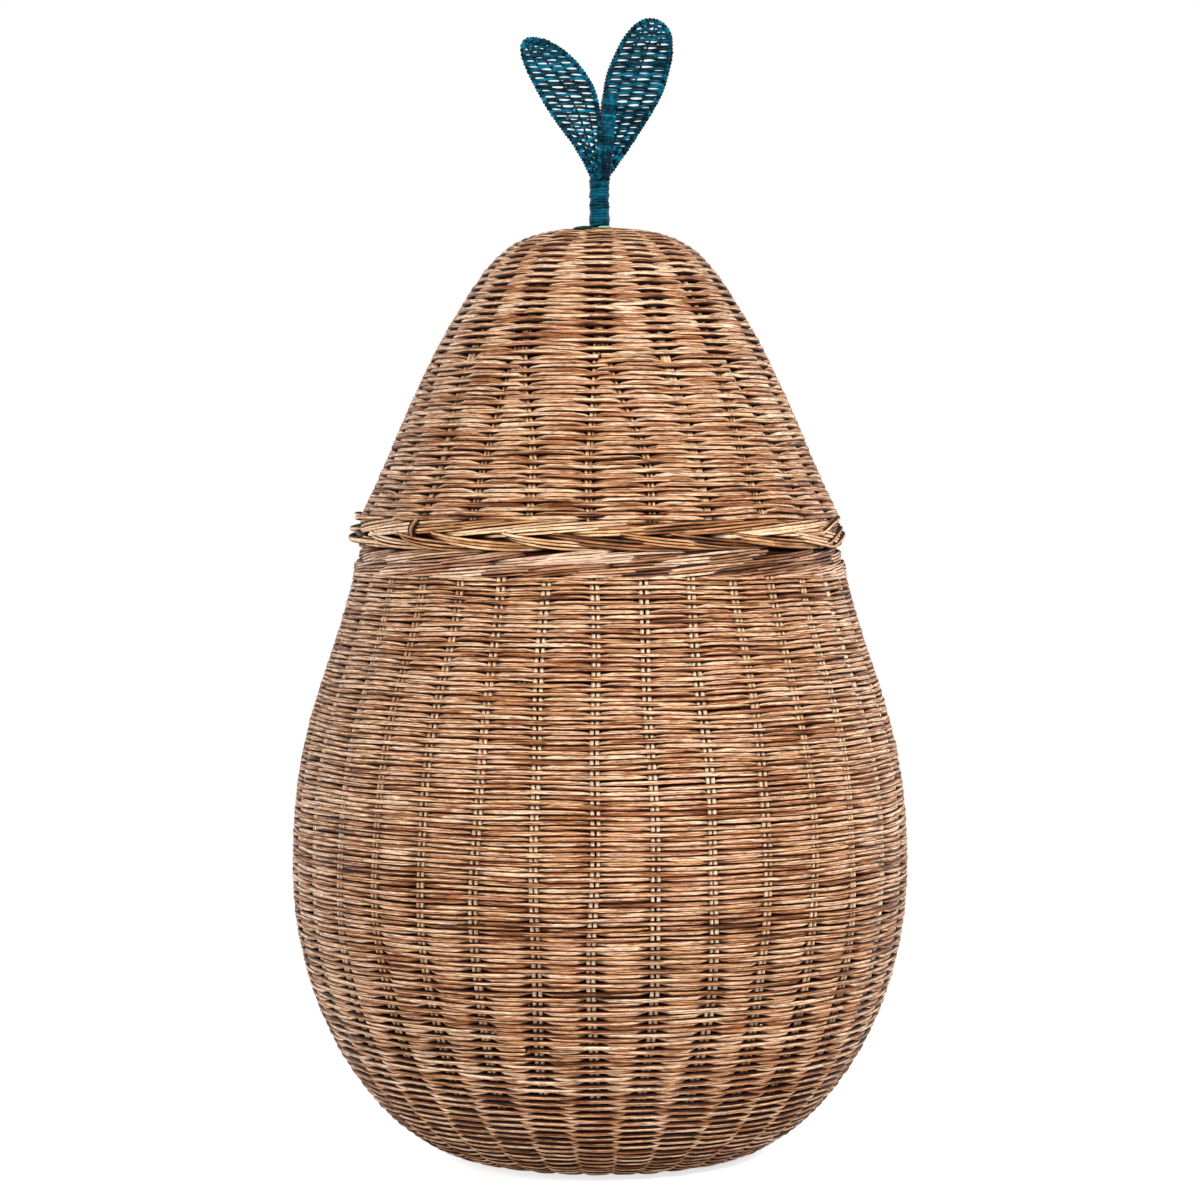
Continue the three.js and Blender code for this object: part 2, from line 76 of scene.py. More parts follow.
def ranged(tree, value, low, high, toLow, toHigh, **more):
    # low to high becomes toLow to toHigh, and stays there beyond
    ends = {"From Min": low, "From Max": high, "To Min": toLow, "To Max": toHigh}
    return added(tree, "MapRange", {"Value": value, **ends, **more})


def coloured(tree, kind, share, colour, hexColour):
    # a colour with another one multiplied or mixed in by a share
    values = {"blend_type": kind, "Fac": share, "Color1": colour, "Color2": linear(hexColour)}
    return added(tree, "MixRGB", values)


def ramped(tree, level, places, colours):
    # the colour at a level of a scale
    node = tree.nodes.new("ShaderNodeValToRGB")
    elements = node.color_ramp.elements
    while len(elements) < len(places):
        elements.new(0.5)
    for element, place, colour in zip(elements, places, colours):
        element.position = place
        element.color = linear(colour)
    feed(tree, node, {"Fac": level})
    return node.outputs["Color"]


def object3d(name, data):
    # an object in the scene
    item = bpy.data.objects.new(name, data)
    bpy.context.scene.collection.objects.link(item)
    return item


def unit(v):
    # each vector at length 1
    return v / np.maximum(np.linalg.norm(v, axis=-1, keepdims=True), 1e-12)


def ease(x):
    # 0 to 1, starting and ending level
    x = np.clip(x, 0, 1)
    return x * x * (3 - 2 * x)


def polar(angle, r, z):
    # a point or way at a radius and height; the angle is 0 at the front, -Y, and grows towards +X
    return np.stack(np.broadcast_arrays(r * np.sin(angle), -r * np.cos(angle), z), -1)


def cubic(corners, t):
    # (1 - t)^3 a + 3 (1 - t)^2 t b + 3 (1 - t) t^2 c + t^3 d
    a, b, c, d = np.array(corners, float)
    return (1 - t) ** 3 * a + 3 * (1 - t) ** 2 * t * b + 3 * (1 - t) * t ** 2 * c + t ** 3 * d


def noise(count, spacing, seed):
    # random values every few stations, joined smoothly
    knots = seeded(seed).normal(size=int(count / spacing) + 4)
    place = np.arange(count) / spacing
    low = place.astype(int)
    f = ease(place - low)
    return knots[low] * (1 - f) + knots[low + 1] * f


def field(angle, s, seed, reach=0.05):
    # waves of a few turns round the wall, each with a slant, so that neighbouring rows shift together
    source = seeded(seed)
    total = 0
    for turns in (2, 3, 5, 8, 13):
        slant = source.uniform(-1, 1) * 2 * pi * s / reach
        total += np.sin(turns * angle + slant + source.uniform(0, 6.28))
    return total / 2.2


# Rods

rodGrid = dict(
    endRing=0.02,  # size of the ring that closes a rod's end, as a share of the rod
    strandShift=0.37,  # m of fibre pattern between one strand and the next
)


def gridMesh(name, points, lengths, split, attributes):
    # Quads between the rows of a grid of points (row, place round); split marks the rows that don't join
    # the next one. UV is metres along and the share round.
    rows, sides = points.shape[:2]
    joins = np.flatnonzero(~split[:-1])
    columns = np.arange(sides)
    a = joins[:, None] * sides + columns
    b = joins[:, None] * sides + (columns + 1) % sides
    faces = np.stack([a, b, b + sides, a + sides], -1).reshape(-1, 4)
    low, high = (np.repeat(lengths[joins + k][:, None], sides, 1) for k in (0, 1))
    near = np.repeat((columns * (1 / sides))[None], len(joins), 0)
    far = near + 1 / sides
    uv = np.stack([low, near, low, far, high, far, high, near], -1)
    mesh = bpy.data.meshes.new(name)
    mesh.vertices.add(rows * sides)
    mesh.vertices.foreach_set("co", points.reshape(-1).astype(np.float32))
    mesh.loops.add(faces.size)
    mesh.loops.foreach_set("vertex_index", faces.reshape(-1).astype(np.int32))
    mesh.polygons.add(len(faces))
    mesh.polygons.foreach_set("loop_start", np.arange(0, faces.size, 4, dtype=np.int32))
    mesh.uv_layers.new(name="rod")
    mesh.uv_layers["rod"].data.foreach_set("uv", uv.reshape(-1).astype(np.float32))
    for key, values in attributes.items():
        layer = mesh.attributes.new(key, "FLOAT", "POINT")
        whole = np.broadcast_to(values if values.ndim == 2 else values[:, None], (rows, sides))
        layer.data.foreach_set("value", whole.reshape(-1).astype(np.float32))
    mesh.update(calc_edges=True)
    mesh.shade_smooth()
    return object3d(name, mesh)


def rodStations(centre, out, thick, wide, strand, tone, behind=0):
    # a bundle of stations: the place, the way out, half sizes out and along the wall, the number of the
    # strand, the tone, and how far behind the others the rod runs, which sets its painted shade
    full = lambda v: np.broadcast_to(np.asarray(v, float), (len(centre),)).copy()
    return dict(
        centre=centre, out=np.broadcast_to(out, centre.shape), thick=full(thick), wide=full(wide),
        strand=full(strand), tone=full(tone), behind=full(behind),
    )


def merged(parts):
    # several bundles as one, their strands numbered apart
    shift = 0
    for part in parts:
        part["strand"] = part["strand"] - part["strand"].min() + shift
        shift = part["strand"].max() + 1
    return {key: np.concatenate([part[key] for part in parts]) for key in parts[0]}


def sliced(rods, pieces):
    # the weaver cut into pieces of about the same size, between two strands
    strand = rods["strand"]
    changes = np.flatnonzero(strand[1:] != strand[:-1]) + 1
    marks = [changes[np.abs(changes - len(strand) * k // pieces).argmin()] for k in range(1, pieces)]
    edges = [0, *marks, len(strand)]
    return [{key: v[a:b] for key, v in rods.items()} for a, b in zip(edges[:-1], edges[1:])]


def rodMesh(name, rods, sides=8):
    # An ellipse carried along each strand: centre + out thick cos v + across wide sin v. A strand's ends
    # are flat cuts: the last ring again, shrunk to its middle.
    strand = rods["strand"]
    changes = strand[1:] != strand[:-1]
    starts = np.r_[True, changes]
    ends = np.r_[changes, True]
    here = np.arange(len(strand))
    after = np.where(ends, here, np.minimum(here + 1, len(strand) - 1))
    before = np.where(starts, here, np.maximum(here - 1, 0))
    along = unit(rods["centre"][after] - rods["centre"][before])
    across = unit(np.cross(along, rods["out"]))
    out = np.cross(across, along)
    step = np.linalg.norm(rods["centre"] - rods["centre"][before], axis=1)
    lengths = np.cumsum(step) + rodGrid["strandShift"] * strand
    copies = np.repeat(here, 1 + starts + ends)
    differs = copies[1:] != copies[:-1]
    first, last = np.r_[True, differs], np.r_[differs, True]
    scale = np.where((starts[copies] & first) | (ends[copies] & last), rodGrid["endRing"], 1.0)
    v = 2 * pi * np.arange(sides) / sides
    reach = rods["thick"][copies, None] * scale[:, None] * np.cos(v)
    spread = rods["wide"][copies, None] * scale[:, None] * np.sin(v)
    points = rods["centre"][copies, None] + out[copies, None] * reach[..., None]
    points += across[copies, None] * spread[..., None]
    split = np.r_[strand[copies][1:] != strand[copies][:-1], True]
    attributes = {"tone": rods["tone"][copies], "behind": rods["behind"][copies]}
    return gridMesh(name, points, lengths[copies], split, attributes)


# Walls, weavers and strands

crowding = radians(4.6)


def wall(*arcs):
    # cubic arcs in radius and height, in mm, as a table by arc length, with the outward normal
    t = np.linspace(0, 1, 1500)[:, None]
    curves = [cubic(np.array(arc) * mm, t) for arc in arcs]
    line = np.vstack([curves[0]] + [c[1:] for c in curves[1:]])
    s = np.r_[0, np.cumsum(np.linalg.norm(np.diff(line, axis=0), axis=1))]
    along = unit(np.gradient(line, axis=0))
    return dict(s=s, r=line[:, 0], z=line[:, 1], nr=along[:, 1], nz=-along[:, 0])


def onWall(table, s, depth, angle):
    # the point at arc length s, that deep under the outer face, and the way out there
    r, z, nr, nz = (np.interp(s, table["s"], table[key]) for key in ("r", "z", "nr", "nz"))
    return polar(angle, r - depth * nr, z - depth * nz), polar(angle, nr, nz)


def crowded(turn):
    # stakes at the sides stand a little nearer to the front, as in the CAD model
    return turn - crowding * np.sin(turn)


def wandering(s, phases, long, short, share):
    # the sum of two waves along the wall
    return np.sin(2 * pi * s / long + phases[0]) + share * np.sin(2 * pi * s / short + phases[1])


def stakeRod(table, s, angle, offset, depth, rod, seed):
    # a round rod up the wall at an angle that changes with the arc length, set off sideways
    r = np.interp(s, table["s"], table["r"])
    centre, out = onWall(table, s, depth, angle + offset / np.maximum(r - depth, 4 * mm))
    return rodStations(centre, out, rod, rod, 0, seeded(seed).beta(2.5, 2))


weaving = dict(
    gather=0.11,  # how far stations are drawn to the stakes, where a rod bends
    packed=(0.5, 1.6),  # middle and slope of the share, 0 to 1, by which rows are packed as at the back
    jitterRun=2.2,  # stakes over which a row's height wanders by itself
    archSharp=1.5,
    strandTone=0.6,  # a strand's own share of the spread of tones
    grain=(0.04, 0.05),  # fine changes of tone, and m from one to the next
    girth=(0.03, 1.3),  # fine changes of width, and stakes from one to the next
    ends=(3, 0.3 * mm),  # a strand's last stations lie deeper, by this much each
    dents=0.15 * mm,
    gap=0.36,  # how far two ends that meet draw back, in steps between stations
)


def strandBreaks(look, swing, run, source):
    # Strands are cut to random lengths. They end behind a stake, where the next one starts, and a few in
    # front of one. Gives the stations where a strand starts.
    cuts = np.cumsum(source.uniform(*look["strand"], int(run[-1] / look["strand"][0]) + 2))
    places = np.searchsorted(run, cuts[cuts < run[-1] * 0.995])
    showing = source.random(len(places)) < look["endsShow"]
    lows = lambda v: np.flatnonzero(np.r_[False, (v[1:-1] < v[:-2]) & (v[1:-1] <= v[2:]), False])
    following = lambda marks: marks[np.minimum(np.searchsorted(marks, places), len(marks) - 1)]
    return np.unique(np.where(showing, following(lows(-swing)) + 1, following(lows(swing))))


def weave(table, low, high, pitch, stakes, stakeAngle, look, seed):
    # One weaver in a spiral, in front of and behind every other stake. With f the number of stakes passed,
    #   wave = cos(pi f), swing = 1 - 2 ((1 - wave) / 2)^dip, depth = depth - amplitude swing
    # so that the rod lies flat in front and bends fast round the inside of a stake. A turn rises by pitch
    # times "rows". Behind a stake the rod sinks and narrows, in front it arches and is fuller, so a
    # window is left beside each stake; at the back "tighter" closes the windows. "lift" raises one loose
    # spot.
    source = seeded(seed)
    perStake = look["perStake"]
    grid = np.linspace(low, high, 500)
    turns = np.cumsum((grid[1] - grid[0]) / (pitch * np.interp(grid, *look["rows"])))
    count = int(turns[-1] * stakes * perStake)
    even = np.arange(count) / perStake
    f = even - weaving["gather"] * np.sin(2 * pi * even)
    s = np.interp(f / stakes, turns, grid)
    stake = np.floor(f + 1e-9).astype(int)
    part = f - stake
    angle = (1 - part) * stakeAngle(stake, s) + part * stakeAngle(stake + 1, s)
    wave = np.cos(pi * f)
    swing = 1 - 2 * ((1 - wave) / 2) ** np.interp(s, *look["dip"])
    swing *= np.interp(s, *look["swing"])

    # the rows' heights
    s += look["shift"] * field(angle, s, seed)
    s += look["jitter"] * noise(count, weaving["jitterRun"] * perStake, seed + 1)
    middle, slope = weaving["packed"]
    packed = np.clip(middle - slope * np.cos(angle), 0, 1)
    s -= look["sink"] * np.clip(-swing, 0, 1) * (1 - packed)
    s += np.interp(s, *look["arch"]) * np.clip(wave, 0, 1) ** weaving["archSharp"]
    turn, place, up, wide, tall = look["lift"]
    aside = np.angle(np.exp(1j * (angle - turn)))
    s += up * np.exp(-(aside / wide) ** 2 - ((s - place) / tall) ** 2)

    # its strands and their tones
    run = np.cumsum(np.interp(s, table["s"], table["r"]) * 2 * pi / stakes / perStake)
    breaks = strandBreaks(look, swing, run, source)
    strand = np.searchsorted(breaks, np.arange(count), side="right")
    number = strand.max() + 1
    step = run[-1] / count
    grain, grainRun = weaving["grain"]
    tone = 0.5 + look["toneSpread"] * noise(count, look["toneRun"] / step, seed + 4)
    tone += weaving["strandTone"] * look["toneSpread"] * (source.beta(2, 2, number) * 2 - 1)[strand]
    tone = np.clip(tone + grain * noise(count, grainRun / step, seed + 5), 0, 1)

    # its width
    girth, girthRun = weaving["girth"]
    width = (1 + look["widthSpread"] * source.normal(size=number))[strand]
    width *= 1 + girth * noise(count, girthRun * perStake, seed + 2)
    width *= 1 + np.interp(s, *look["fuller"]) * np.clip(swing, 0, 1)
    toBehind = np.arccos(np.clip(wave, -1, 1)) / pi
    near = np.clip((toBehind - look["narrowFrom"]) / (1 - look["narrowFrom"]), 0, 1)
    width *= 1 - np.interp(s, *look["narrow"]) * (1 - packed) * near
    width *= 1 + np.interp(s, *look["tighter"]) * packed

    # its depth, and a short gap between two strands
    toEnd = np.abs(np.arange(count)[:, None] - breaks[None]).min(1)
    sunk = weaving["ends"][1] * np.maximum(weaving["ends"][0] - toEnd, 0)
    depth = look["depth"] - look["amplitude"] * swing + sunk + weaving["dents"] * noise(count, 9, seed + 3)
    centre, out = onWall(table, s, depth, angle)
    gap = weaving["gap"] * (centre[breaks] - centre[breaks - 1])
    centre[breaks - 1] += gap
    centre[breaks] -= gap
    # a rod's run behind a stake counts as behind, for its painted shade
    return rodStations(centre, out, look["thick"] * width, look["wide"] * width, strand, tone, -swing)


def rope(radius, height, halfOut, halfUp, strands, windings, rod, look, seed):
    # Strands wound round a flat hoop as w runs. The reach out is halfOut times a squared-off cosine of w,
    # the height halfUp arcsin(k sin w) / arcsin(k). The rods of a strand lie side by side; their pace and
    # reach wander, and settle at the back, where the ends meet.
    source = seeded(seed)
    steps = look["steps"]
    angle = np.linspace(-pi, pi, steps + 1)
    settled = np.sqrt(np.abs(np.cos(angle / 2)))
    parts = []
    for k in range(strands):
        for j in range(look["rods"]):
            side = (j - (look["rods"] - 1) / 2) * look["spread"]
            pace = look["wander"] * field(angle, 0, seed + k)
            pace = settled * (pace + look["rodWander"] * field(angle, 0, seed + 20 + 5 * k + j))
            w = windings * (angle + pi) + pace + 2 * pi * k / strands + side
            swell = 1 + settled * look["swell"] * field(angle, 0, seed + 7 + 3 * k + j)
            r = radius + halfOut * swell * np.sign(np.cos(w)) * np.abs(np.cos(w)) ** look["square"]
            level = np.arcsin(look["even"] * np.sin(w)) / asin(look["even"])
            out = unit(polar(angle, np.cos(w) / halfOut, np.sin(w) / halfUp))
            hidden = np.flatnonzero(np.cos(w) < -0.95)
            cut = np.sort(source.choice(hidden, min(look["pieces"], len(hidden)), replace=False))
            strand = np.searchsorted(cut, np.arange(steps + 1))
            number = strand.max() + 1
            tone = 0.5 + look["tone"][0] * noise(steps + 1, steps / 16, seed + 60 + 5 * k + j)
            tone = np.clip(tone + look["tone"][1] * (source.beta(2, 2, number) * 2 - 1)[strand], 0, 1)
            size = (rod * (1 + look["sizeSpread"] * source.normal(size=number)))[strand]
            centre = polar(angle, r, height + halfUp * level)
            # the winding's inner half counts as behind, for its painted shade
            parts.append(rodStations(centre, out, size * 0.9, size, strand, tone, -np.cos(w)))
    return merged(parts)


def laid(count, rod, radius, fromZ, toZ, look, seed):
    # Strands laid round a rim one after the other, each over a few stakes. At the share u of its run one is
    # at toZ + (fromZ - toZ)(1 - u)^bend; it comes out from behind, slips under the next one and goes in.
    # Its rods lie side by side, closer at its ends.
    source = seeded(seed)
    u = np.linspace(0, 1, look["steps"])
    bulge = look["apart"][0] + look["apart"][1] * np.sin(pi * u) ** 0.6
    slipped = look["tuck"] * ease((u - 1 + look["leave"]) / look["leave"])
    under = look["under"] * ease((u - look["slip"][0]) / look["slip"][1])
    parts = []
    for k in range(count):
        start = k + look["loose"] * source.normal()
        run = look["run"] * (1 + 0.1 * source.normal())
        angle = crowded(2 * pi * (start + run * u) / count)
        low, high = np.array([fromZ, toZ]) + look["uneven"] * source.normal(size=2)
        level = high + (low - high) * (1 - u) ** look["bend"]
        tone = 0.5 + look["tone"][0] * source.normal()
        level += look["uneven"] * np.sin(source.uniform(2, 5) * u + source.uniform(0, 6))
        for j in range(look["rods"]):
            size = rod * (1 + 0.1 * source.normal())
            side = (j - (look["rods"] - 1) / 2) * 2 * rod * bulge
            side += look["uneven"] * 0.5 * np.sin(source.uniform(3, 7) * u + source.uniform(0, 6))
            # the rod beside the strand laid before comes out from behind it last
            entry = look["enter"][0] + look["enter"][1] * (j if toZ > fromZ else look["rods"] - 1 - j)
            r = radius - look["tuck"] * (1 - ease(u / entry)) - slipped - under
            r += 0.25 * rod * source.normal()
            shade = tone + look["tone"][1] * source.normal()
            shade = np.clip(shade + look["tone"][2] * noise(len(u), 12, seed + 9 * k + j), 0, 1)
            # a rod tucked in counts as behind, for its painted shade
            behind = np.clip((radius - r) / look["tuck"], 0, 1)
            centre = polar(angle, r, level + side)
            parts.append(rodStations(centre, polar(angle, 1, 0), size * 0.9, size, 0, shade, behind))
    return merged(parts)


def strays(paths, radius, steps=40, tucked=0.18):
    # Loose rods, in degrees and mm: from one (angle, height) to another, standing out by a sine of the
    # run and bowed upwards by another, drawn in at either end; then the rod's size and tone.
    parts = []
    u = np.linspace(0, 1, steps)
    start = np.clip(1 - u / tucked, 0, 1) ** 2
    end = np.clip((u - 1 + tucked) / tucked, 0, 1) ** 2
    for fromTurn, fromZ, toTurn, toZ, proud, bow, tuckIn, tuckOut, rod, tone in paths:
        angle = np.radians(fromTurn + (toTurn - fromTurn) * u)
        z = (fromZ + (toZ - fromZ) * u + bow * np.sin(pi * u)) * mm
        r = radius + proud * mm * np.sin(pi * u) ** 0.7 - mm * (tuckIn * start + tuckOut * end)
        parts.append(rodStations(polar(angle, r, z), polar(angle, 1, 0), rod * mm, rod * mm, 0, tone))
    return merged(parts)


def hoops(places, rod, tone, steps=200, wobble=0.2 * mm, behind=1):
    # plain rings of round rod at (radius, height) in mm, a little uneven
    # behind 1, the default, gives a ring the full painted shade of a rod hidden behind others
    angle = np.linspace(-pi, pi, steps + 1)
    parts = []
    for k, (radius, height) in enumerate(places):
        r = radius * mm + wobble * field(angle, 0, 50 + k)
        z = height * mm + wobble * field(angle, 0, 80 + k)
        parts.append(rodStations(polar(angle, r, z), polar(angle, 1, 0), rod, rod, 0, tone, behind))
    return merged(parts)


# Materials

rattan = dict(
    body=["#260b03", "#844c2d", "#be8757", "#e5b98a", "#fde5cb"],
    lid=["#260c03", "#88502d", "#c08859", "#e4b98b", "#fae6cc"],
    bodyRim=["#211008", "#7e5235", "#b08361", "#d3aa87", "#f1dac3"],
    lidRim=["#231006", "#825533", "#b98454", "#dcb07e", "#fadfbd"],
    stake=["#dda877", "#f3c897", "#fdd9ac", "#ffe5c4", "#fff0d9"],
    lidStake=["#8a5a36", "#c8915f", "#e8b480", "#f6cf9f", "#fde4c0"],
    stops=(0.1, 0.3, 0.45, 0.62, 0.82),
    # the colour of the painted shade on the rods' runs behind others and on their inner halves
    inside="#321508",
    pink="#d9a79c",
    crease="#5e3421",
    tone=(0.8, 0.08),  # how far a rod's tone reaches over the colours, and where they start
    streakLength=0.045,  # m, a fibre streak along the rod
    streaks=(9, 2.8),  # round a weaver, each about 1.2 mm wide, and how far they reach over the colours
    stakeStreaks=(5, 1.4),
    rimStreaks=(2, 1.5),  # the rims' rods are smoother
    blotches=(26, 0.14),  # to the metre, so each about 40 mm, and how far they reach
    edge=(-1.3, 0.8),  # painted shade at a rod's upper and lower edges, as a shift on the colour scale, and painted shade on its inner half
    # the same painted edge shade and inner-half shade for the stakes, weaker
    stakeEdge=(-0.25, 0.3),
    outerFace=(0.45, 0.88, 0.06),  # cosines round a rod between which the painted edge shade goes, and the faint painted highlight left at its outer line
    innerFace=(0.25, -0.2),  # cosines between which the painted shade on the inner half comes in
    levels=0.12,  # step of the streak noise between two dark lines
    creases=(0.01, 0.04, 0.33),  # their width in the noise, from and to, and their depth
    veins=(9, 2.5, 1),  # to the metre along the rod, so about 110 mm long, and round it
    veinsAt=(3.1, 7.3, 0),
    veined=(0.44, 0.66, 0.6),  # the noise between which a vein comes in, and its share of pink
    behindShade=(0.15, 0.95, 0.9),  # the runs behind between which painted shade comes in, and its share
    roughness=(-0.2, 0.6),  # by the streak, and without it
    bump={"Strength": 0.6, "Distance": 0.6 * mm},
    specular=0.18,
)


def blank(name):
    # a new material, its tree and its shader
    material = bpy.data.materials.new(name)
    material.use_nodes = True
    return material, material.node_tree, material.node_tree.nodes["Principled BSDF"]


def attribute(tree, name):
    return added(tree, "Attribute", {"attribute_name": name}, "Fac")


def stretchedNoise(tree, scale, location, detail, roughness):
    # noise drawn out along the rod
    uv = added(tree, "UVMap", {"uv_map": "rod"})
    mapped = added(tree, "Mapping", {"Scale": scale, "Location": location, "Vector": uv})
    values = {"Scale": 1.0, "Detail": detail, "Roughness": roughness, "Vector": mapped}
    return added(tree, "TexNoise", values, "Fac")


def rattanMaterial(name, colours, streaks=rattan["streaks"], edge=rattan["edge"]):
    # Rattan core: the peeled inner cane, cut round by a die, left unvarnished. It gives the eye a dry straw
    # sheen, pale and dark streaks of fibre and a tone that changes from rod to rod; painted shade darkens
    # each rod's upper and lower edges where rods press on each other, its inner half and its runs behind
    # others, and a faint painted highlight lies along its outer line.
    material, tree, shader = blank(name)
    streak = stretchedNoise(tree, (1 / rattan["streakLength"], streaks[0], 1), (0, 0, 0), 4.0, 0.62)
    place = added(tree, "TexCoord", {}, "Object")
    scale, reach = rattan["blotches"]
    blotch = added(tree, "TexNoise", {"Scale": scale, "Detail": 3.0, "Vector": place}, "Fac")
    # the cosine of how far round from the rod's outer line: 1 there, 0 at its upper and lower edges
    share = added(tree, "SeparateXYZ", {"Vector": added(tree, "UVMap", {"uv_map": "rod"})}, "Y")
    outward = maths(tree, "COSINE", maths(tree, "MULTIPLY", share, 2 * pi))
    # rod tone, streaks, blotches and the painted shade at the edges add up to one place on the colour scale
    level = attribute(tree, "tone")
    level = maths(tree, "MULTIPLY_ADD", level, rattan["tone"][0], rattan["tone"][1] - streaks[1] / 2)
    level = maths(tree, "MULTIPLY_ADD", streak, streaks[1], level)
    level = maths(tree, "MULTIPLY_ADD", blotch, reach, level)
    low, high, lit = rattan["outerFace"]
    level = maths(tree, "ADD", level, ranged(tree, outward, low, high, edge[0], lit))
    colour = ramped(tree, level, rattan["stops"], colours)
    # thin dark lines between the fibres, wherever the noise crosses one of its even levels
    near = maths(tree, "PINGPONG", streak, rattan["levels"] / 2)
    thin, broad, deep = rattan["creases"]
    crease = ranged(tree, near, thin, broad, deep * streaks[1], 0.0)
    colour = coloured(tree, "MULTIPLY", crease, colour, rattan["crease"])
    # long pinkish veins
    low, high, most = rattan["veined"]
    vein = stretchedNoise(tree, rattan["veins"], rattan["veinsAt"], 3.0, 0.6)
    colour = coloured(tree, "MULTIPLY", ranged(tree, vein, low, high, 0.0, most), colour, rattan["pink"])
    # painted shade darkens the rods' runs behind others and their inner halves
    inner = ranged(tree, outward, *rattan["innerFace"], 0.0, edge[1])
    low, high, most = rattan["behindShade"]
    dark = maths(tree, "MAXIMUM", ranged(tree, attribute(tree, "behind"), low, high, 0.0, most), inner)
    feed(tree, shader, {
        "Base Color": coloured(tree, "MIX", dark, colour, rattan["inside"]),
        "Roughness": maths(tree, "MULTIPLY_ADD", streak, *rattan["roughness"]),
        "Normal": added(tree, "Bump", {**rattan["bump"], "Height": streak}),
        "Specular IOR Level": rattan["specular"],
    })
    return material


teal = dict(
    colours=["#00070c", "#002534", "#005874", "#0c94b6"],
    green=["#03120b", "#0c3122", "#1b4c38", "#9fc7a6"],
    stops=(0.15, 0.4, 0.6, 0.85),
    streaks=(150, 5, 1),  # brush marks to the metre, so about 7 mm long, and round the strip
    tone=(0.6, -0.3),  # how far a strip's tone reaches over the colours, and where they start
    bump={"Strength": 0.5, "Distance": 0.4 * mm},
    roughness=0.4,
    specular=0.07,
)


def tealMaterial(name, colours):
    # Split cane skein painted by brush: a satin film, thin on the ridges, thick and darker in the grooves.
    material, tree, shader = blank(name)
    streak = stretchedNoise(tree, teal["streaks"], (0, 0, 0), 5.0, 0.65)
    tone = maths(tree, "MULTIPLY_ADD", attribute(tree, "tone"), *teal["tone"])
    feed(tree, shader, {
        "Base Color": ramped(tree, maths(tree, "ADD", streak, tone), teal["stops"], colours),
        "Normal": added(tree, "Bump", {**teal["bump"], "Height": streak}),
        "Roughness": teal["roughness"],
        "Specular IOR Level": teal["specular"],
    })
    return material


def cane(name, colours, slot, body, *kind):
    # a kind of rattan, with the slot and body of its pieces
    return rattanMaterial("peeled rattan core, " + name, rattan[colours], *kind), slot, body


rims = [rattan["rimStreaks"]]
stakes = [rattan["stakeStreaks"], rattan["stakeEdge"]]
bodyCane = cane("body", "body", "body_rattan", "basket_body")
lidCane = cane("lid", "lid", "lid_rattan", "lid")
bodyRim = cane("body rim", "bodyRim", "body_rattan", "basket_body", *rims)
lidRim = cane("lid rim", "lidRim", "lid_rattan", "lid", *rims)
bodyRods = cane("stakes", "stake", "stake_rattan", "basket_body", *stakes)
lidRods = cane("lid stakes", "lidStake", "stake_rattan", "lid", *stakes)
tealSkein = tealMaterial("cane skein painted teal", teal["colours"]), "teal_rattan", "lid"
greenSkein = tealMaterial("cane skein painted green", teal["green"]), "teal_rattan", "lid"


def finished(piece, look, nodes=()):
    # a piece gets its material and body, and takes the place of its CAD nodes
    material, slot, body = look
    piece.data.materials.append(material)
    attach(piece, body)
    if nodes:
        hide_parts(*nodes)


# Body

bodyWall = wall(
    [(90, 0.6), (150, 8), (212, 96), (212, 200)],
    [(212, 200), (212, 300), (185, 332), (170, 400)],
    [(170, 400), (169.6, 402), (169.2, 403), (168.8, 404.5)],
)
bodyLength = bodyWall["s"][-1]
body = dict(
    stakes=31,
    turn=radians(-1.2),
    pitch=3.16 * mm,
    rod=1.42 * mm,
    pair=1.8 * mm,  # half the distance between a stake's rods
    stakeDepth=3.9 * mm,
    wander=radians(0.35),
    waves=(0.31, 0.14),  # m of wall over which a stake wanders, by two waves
)
bodyWander = rng.uniform(0, 2 * pi, (2, body["stakes"]))


def bodyStake(j, s):
    # a stake's angle: its share of the turn, crowded to the front, with a slow wander up the wall
    j = np.asarray(j)
    k = j % body["stakes"]
    slow = wandering(s, bodyWander[:, k], *body["waves"], 0.6)
    return crowded(body["turn"] + 2 * pi * j / body["stakes"]) + body["wander"] * slow


# Where two lists stand together, the first is arc lengths up the wall and the second the value there.
bodyLook = dict(
    perStake=8,
    toneRun=0.14,  # m over which a weaver keeps its tone
    toneSpread=0.09,
    dip=([0, 0.05, 0.1, 0.19, 0.28, bodyLength], [2, 2.8, 5, 14, 28, 24]),
    narrow=([0, 0.12, 0.19], [0.05, 0.14, 0.36]),  # share of its width that a rod loses behind a stake
    narrowFrom=0.68,  # and where it begins, as a share of the way there from the stake in front
    fuller=([0, 0.12, 0.19], [0.24, 0.2, 0.12]),  # share by which a rod is wider in front of a stake
    tighter=([0, 0.14, 0.2], [0.35, 0.3, 0.1]),  # share by which a rod is wider at the back
    sink=0.7 * mm,  # a rod lies this much lower behind a stake
    arch=([0, 1], [0, 0]),  # m that it arches up in front of one
    rows=([0, 0.1, 0.2, 0.3, 0.42, 0.55], [0.94, 0.95, 0.98, 1.03, 1, 0.98]),
    lift=(0, 0, 0, 1, 1),  # a loose spot: its angle, arc length, rise, and reach round and up
    swing=([0, 0.02, 0.12, 0.22, bodyLength], [0.8, 1.1, 1.15, 1, 1]),
    shift=0.5 * mm,
    jitter=0.27 * mm,
    strand=(1.1, 3.2),  # m, the shortest and the longest strand
    endsShow=0.08,  # share of the strands that end in front
    depth=4.35 * mm,
    amplitude=2.75 * mm,
    thick=1.45 * mm,
    wide=1.76 * mm,
    widthSpread=0.05,
)
low, high = 1.6 * mm, bodyLength - 1.4 * mm
bodyWeaver = weave(bodyWall, low, high, body["pitch"], body["stakes"], bodyStake, bodyLook, 100)
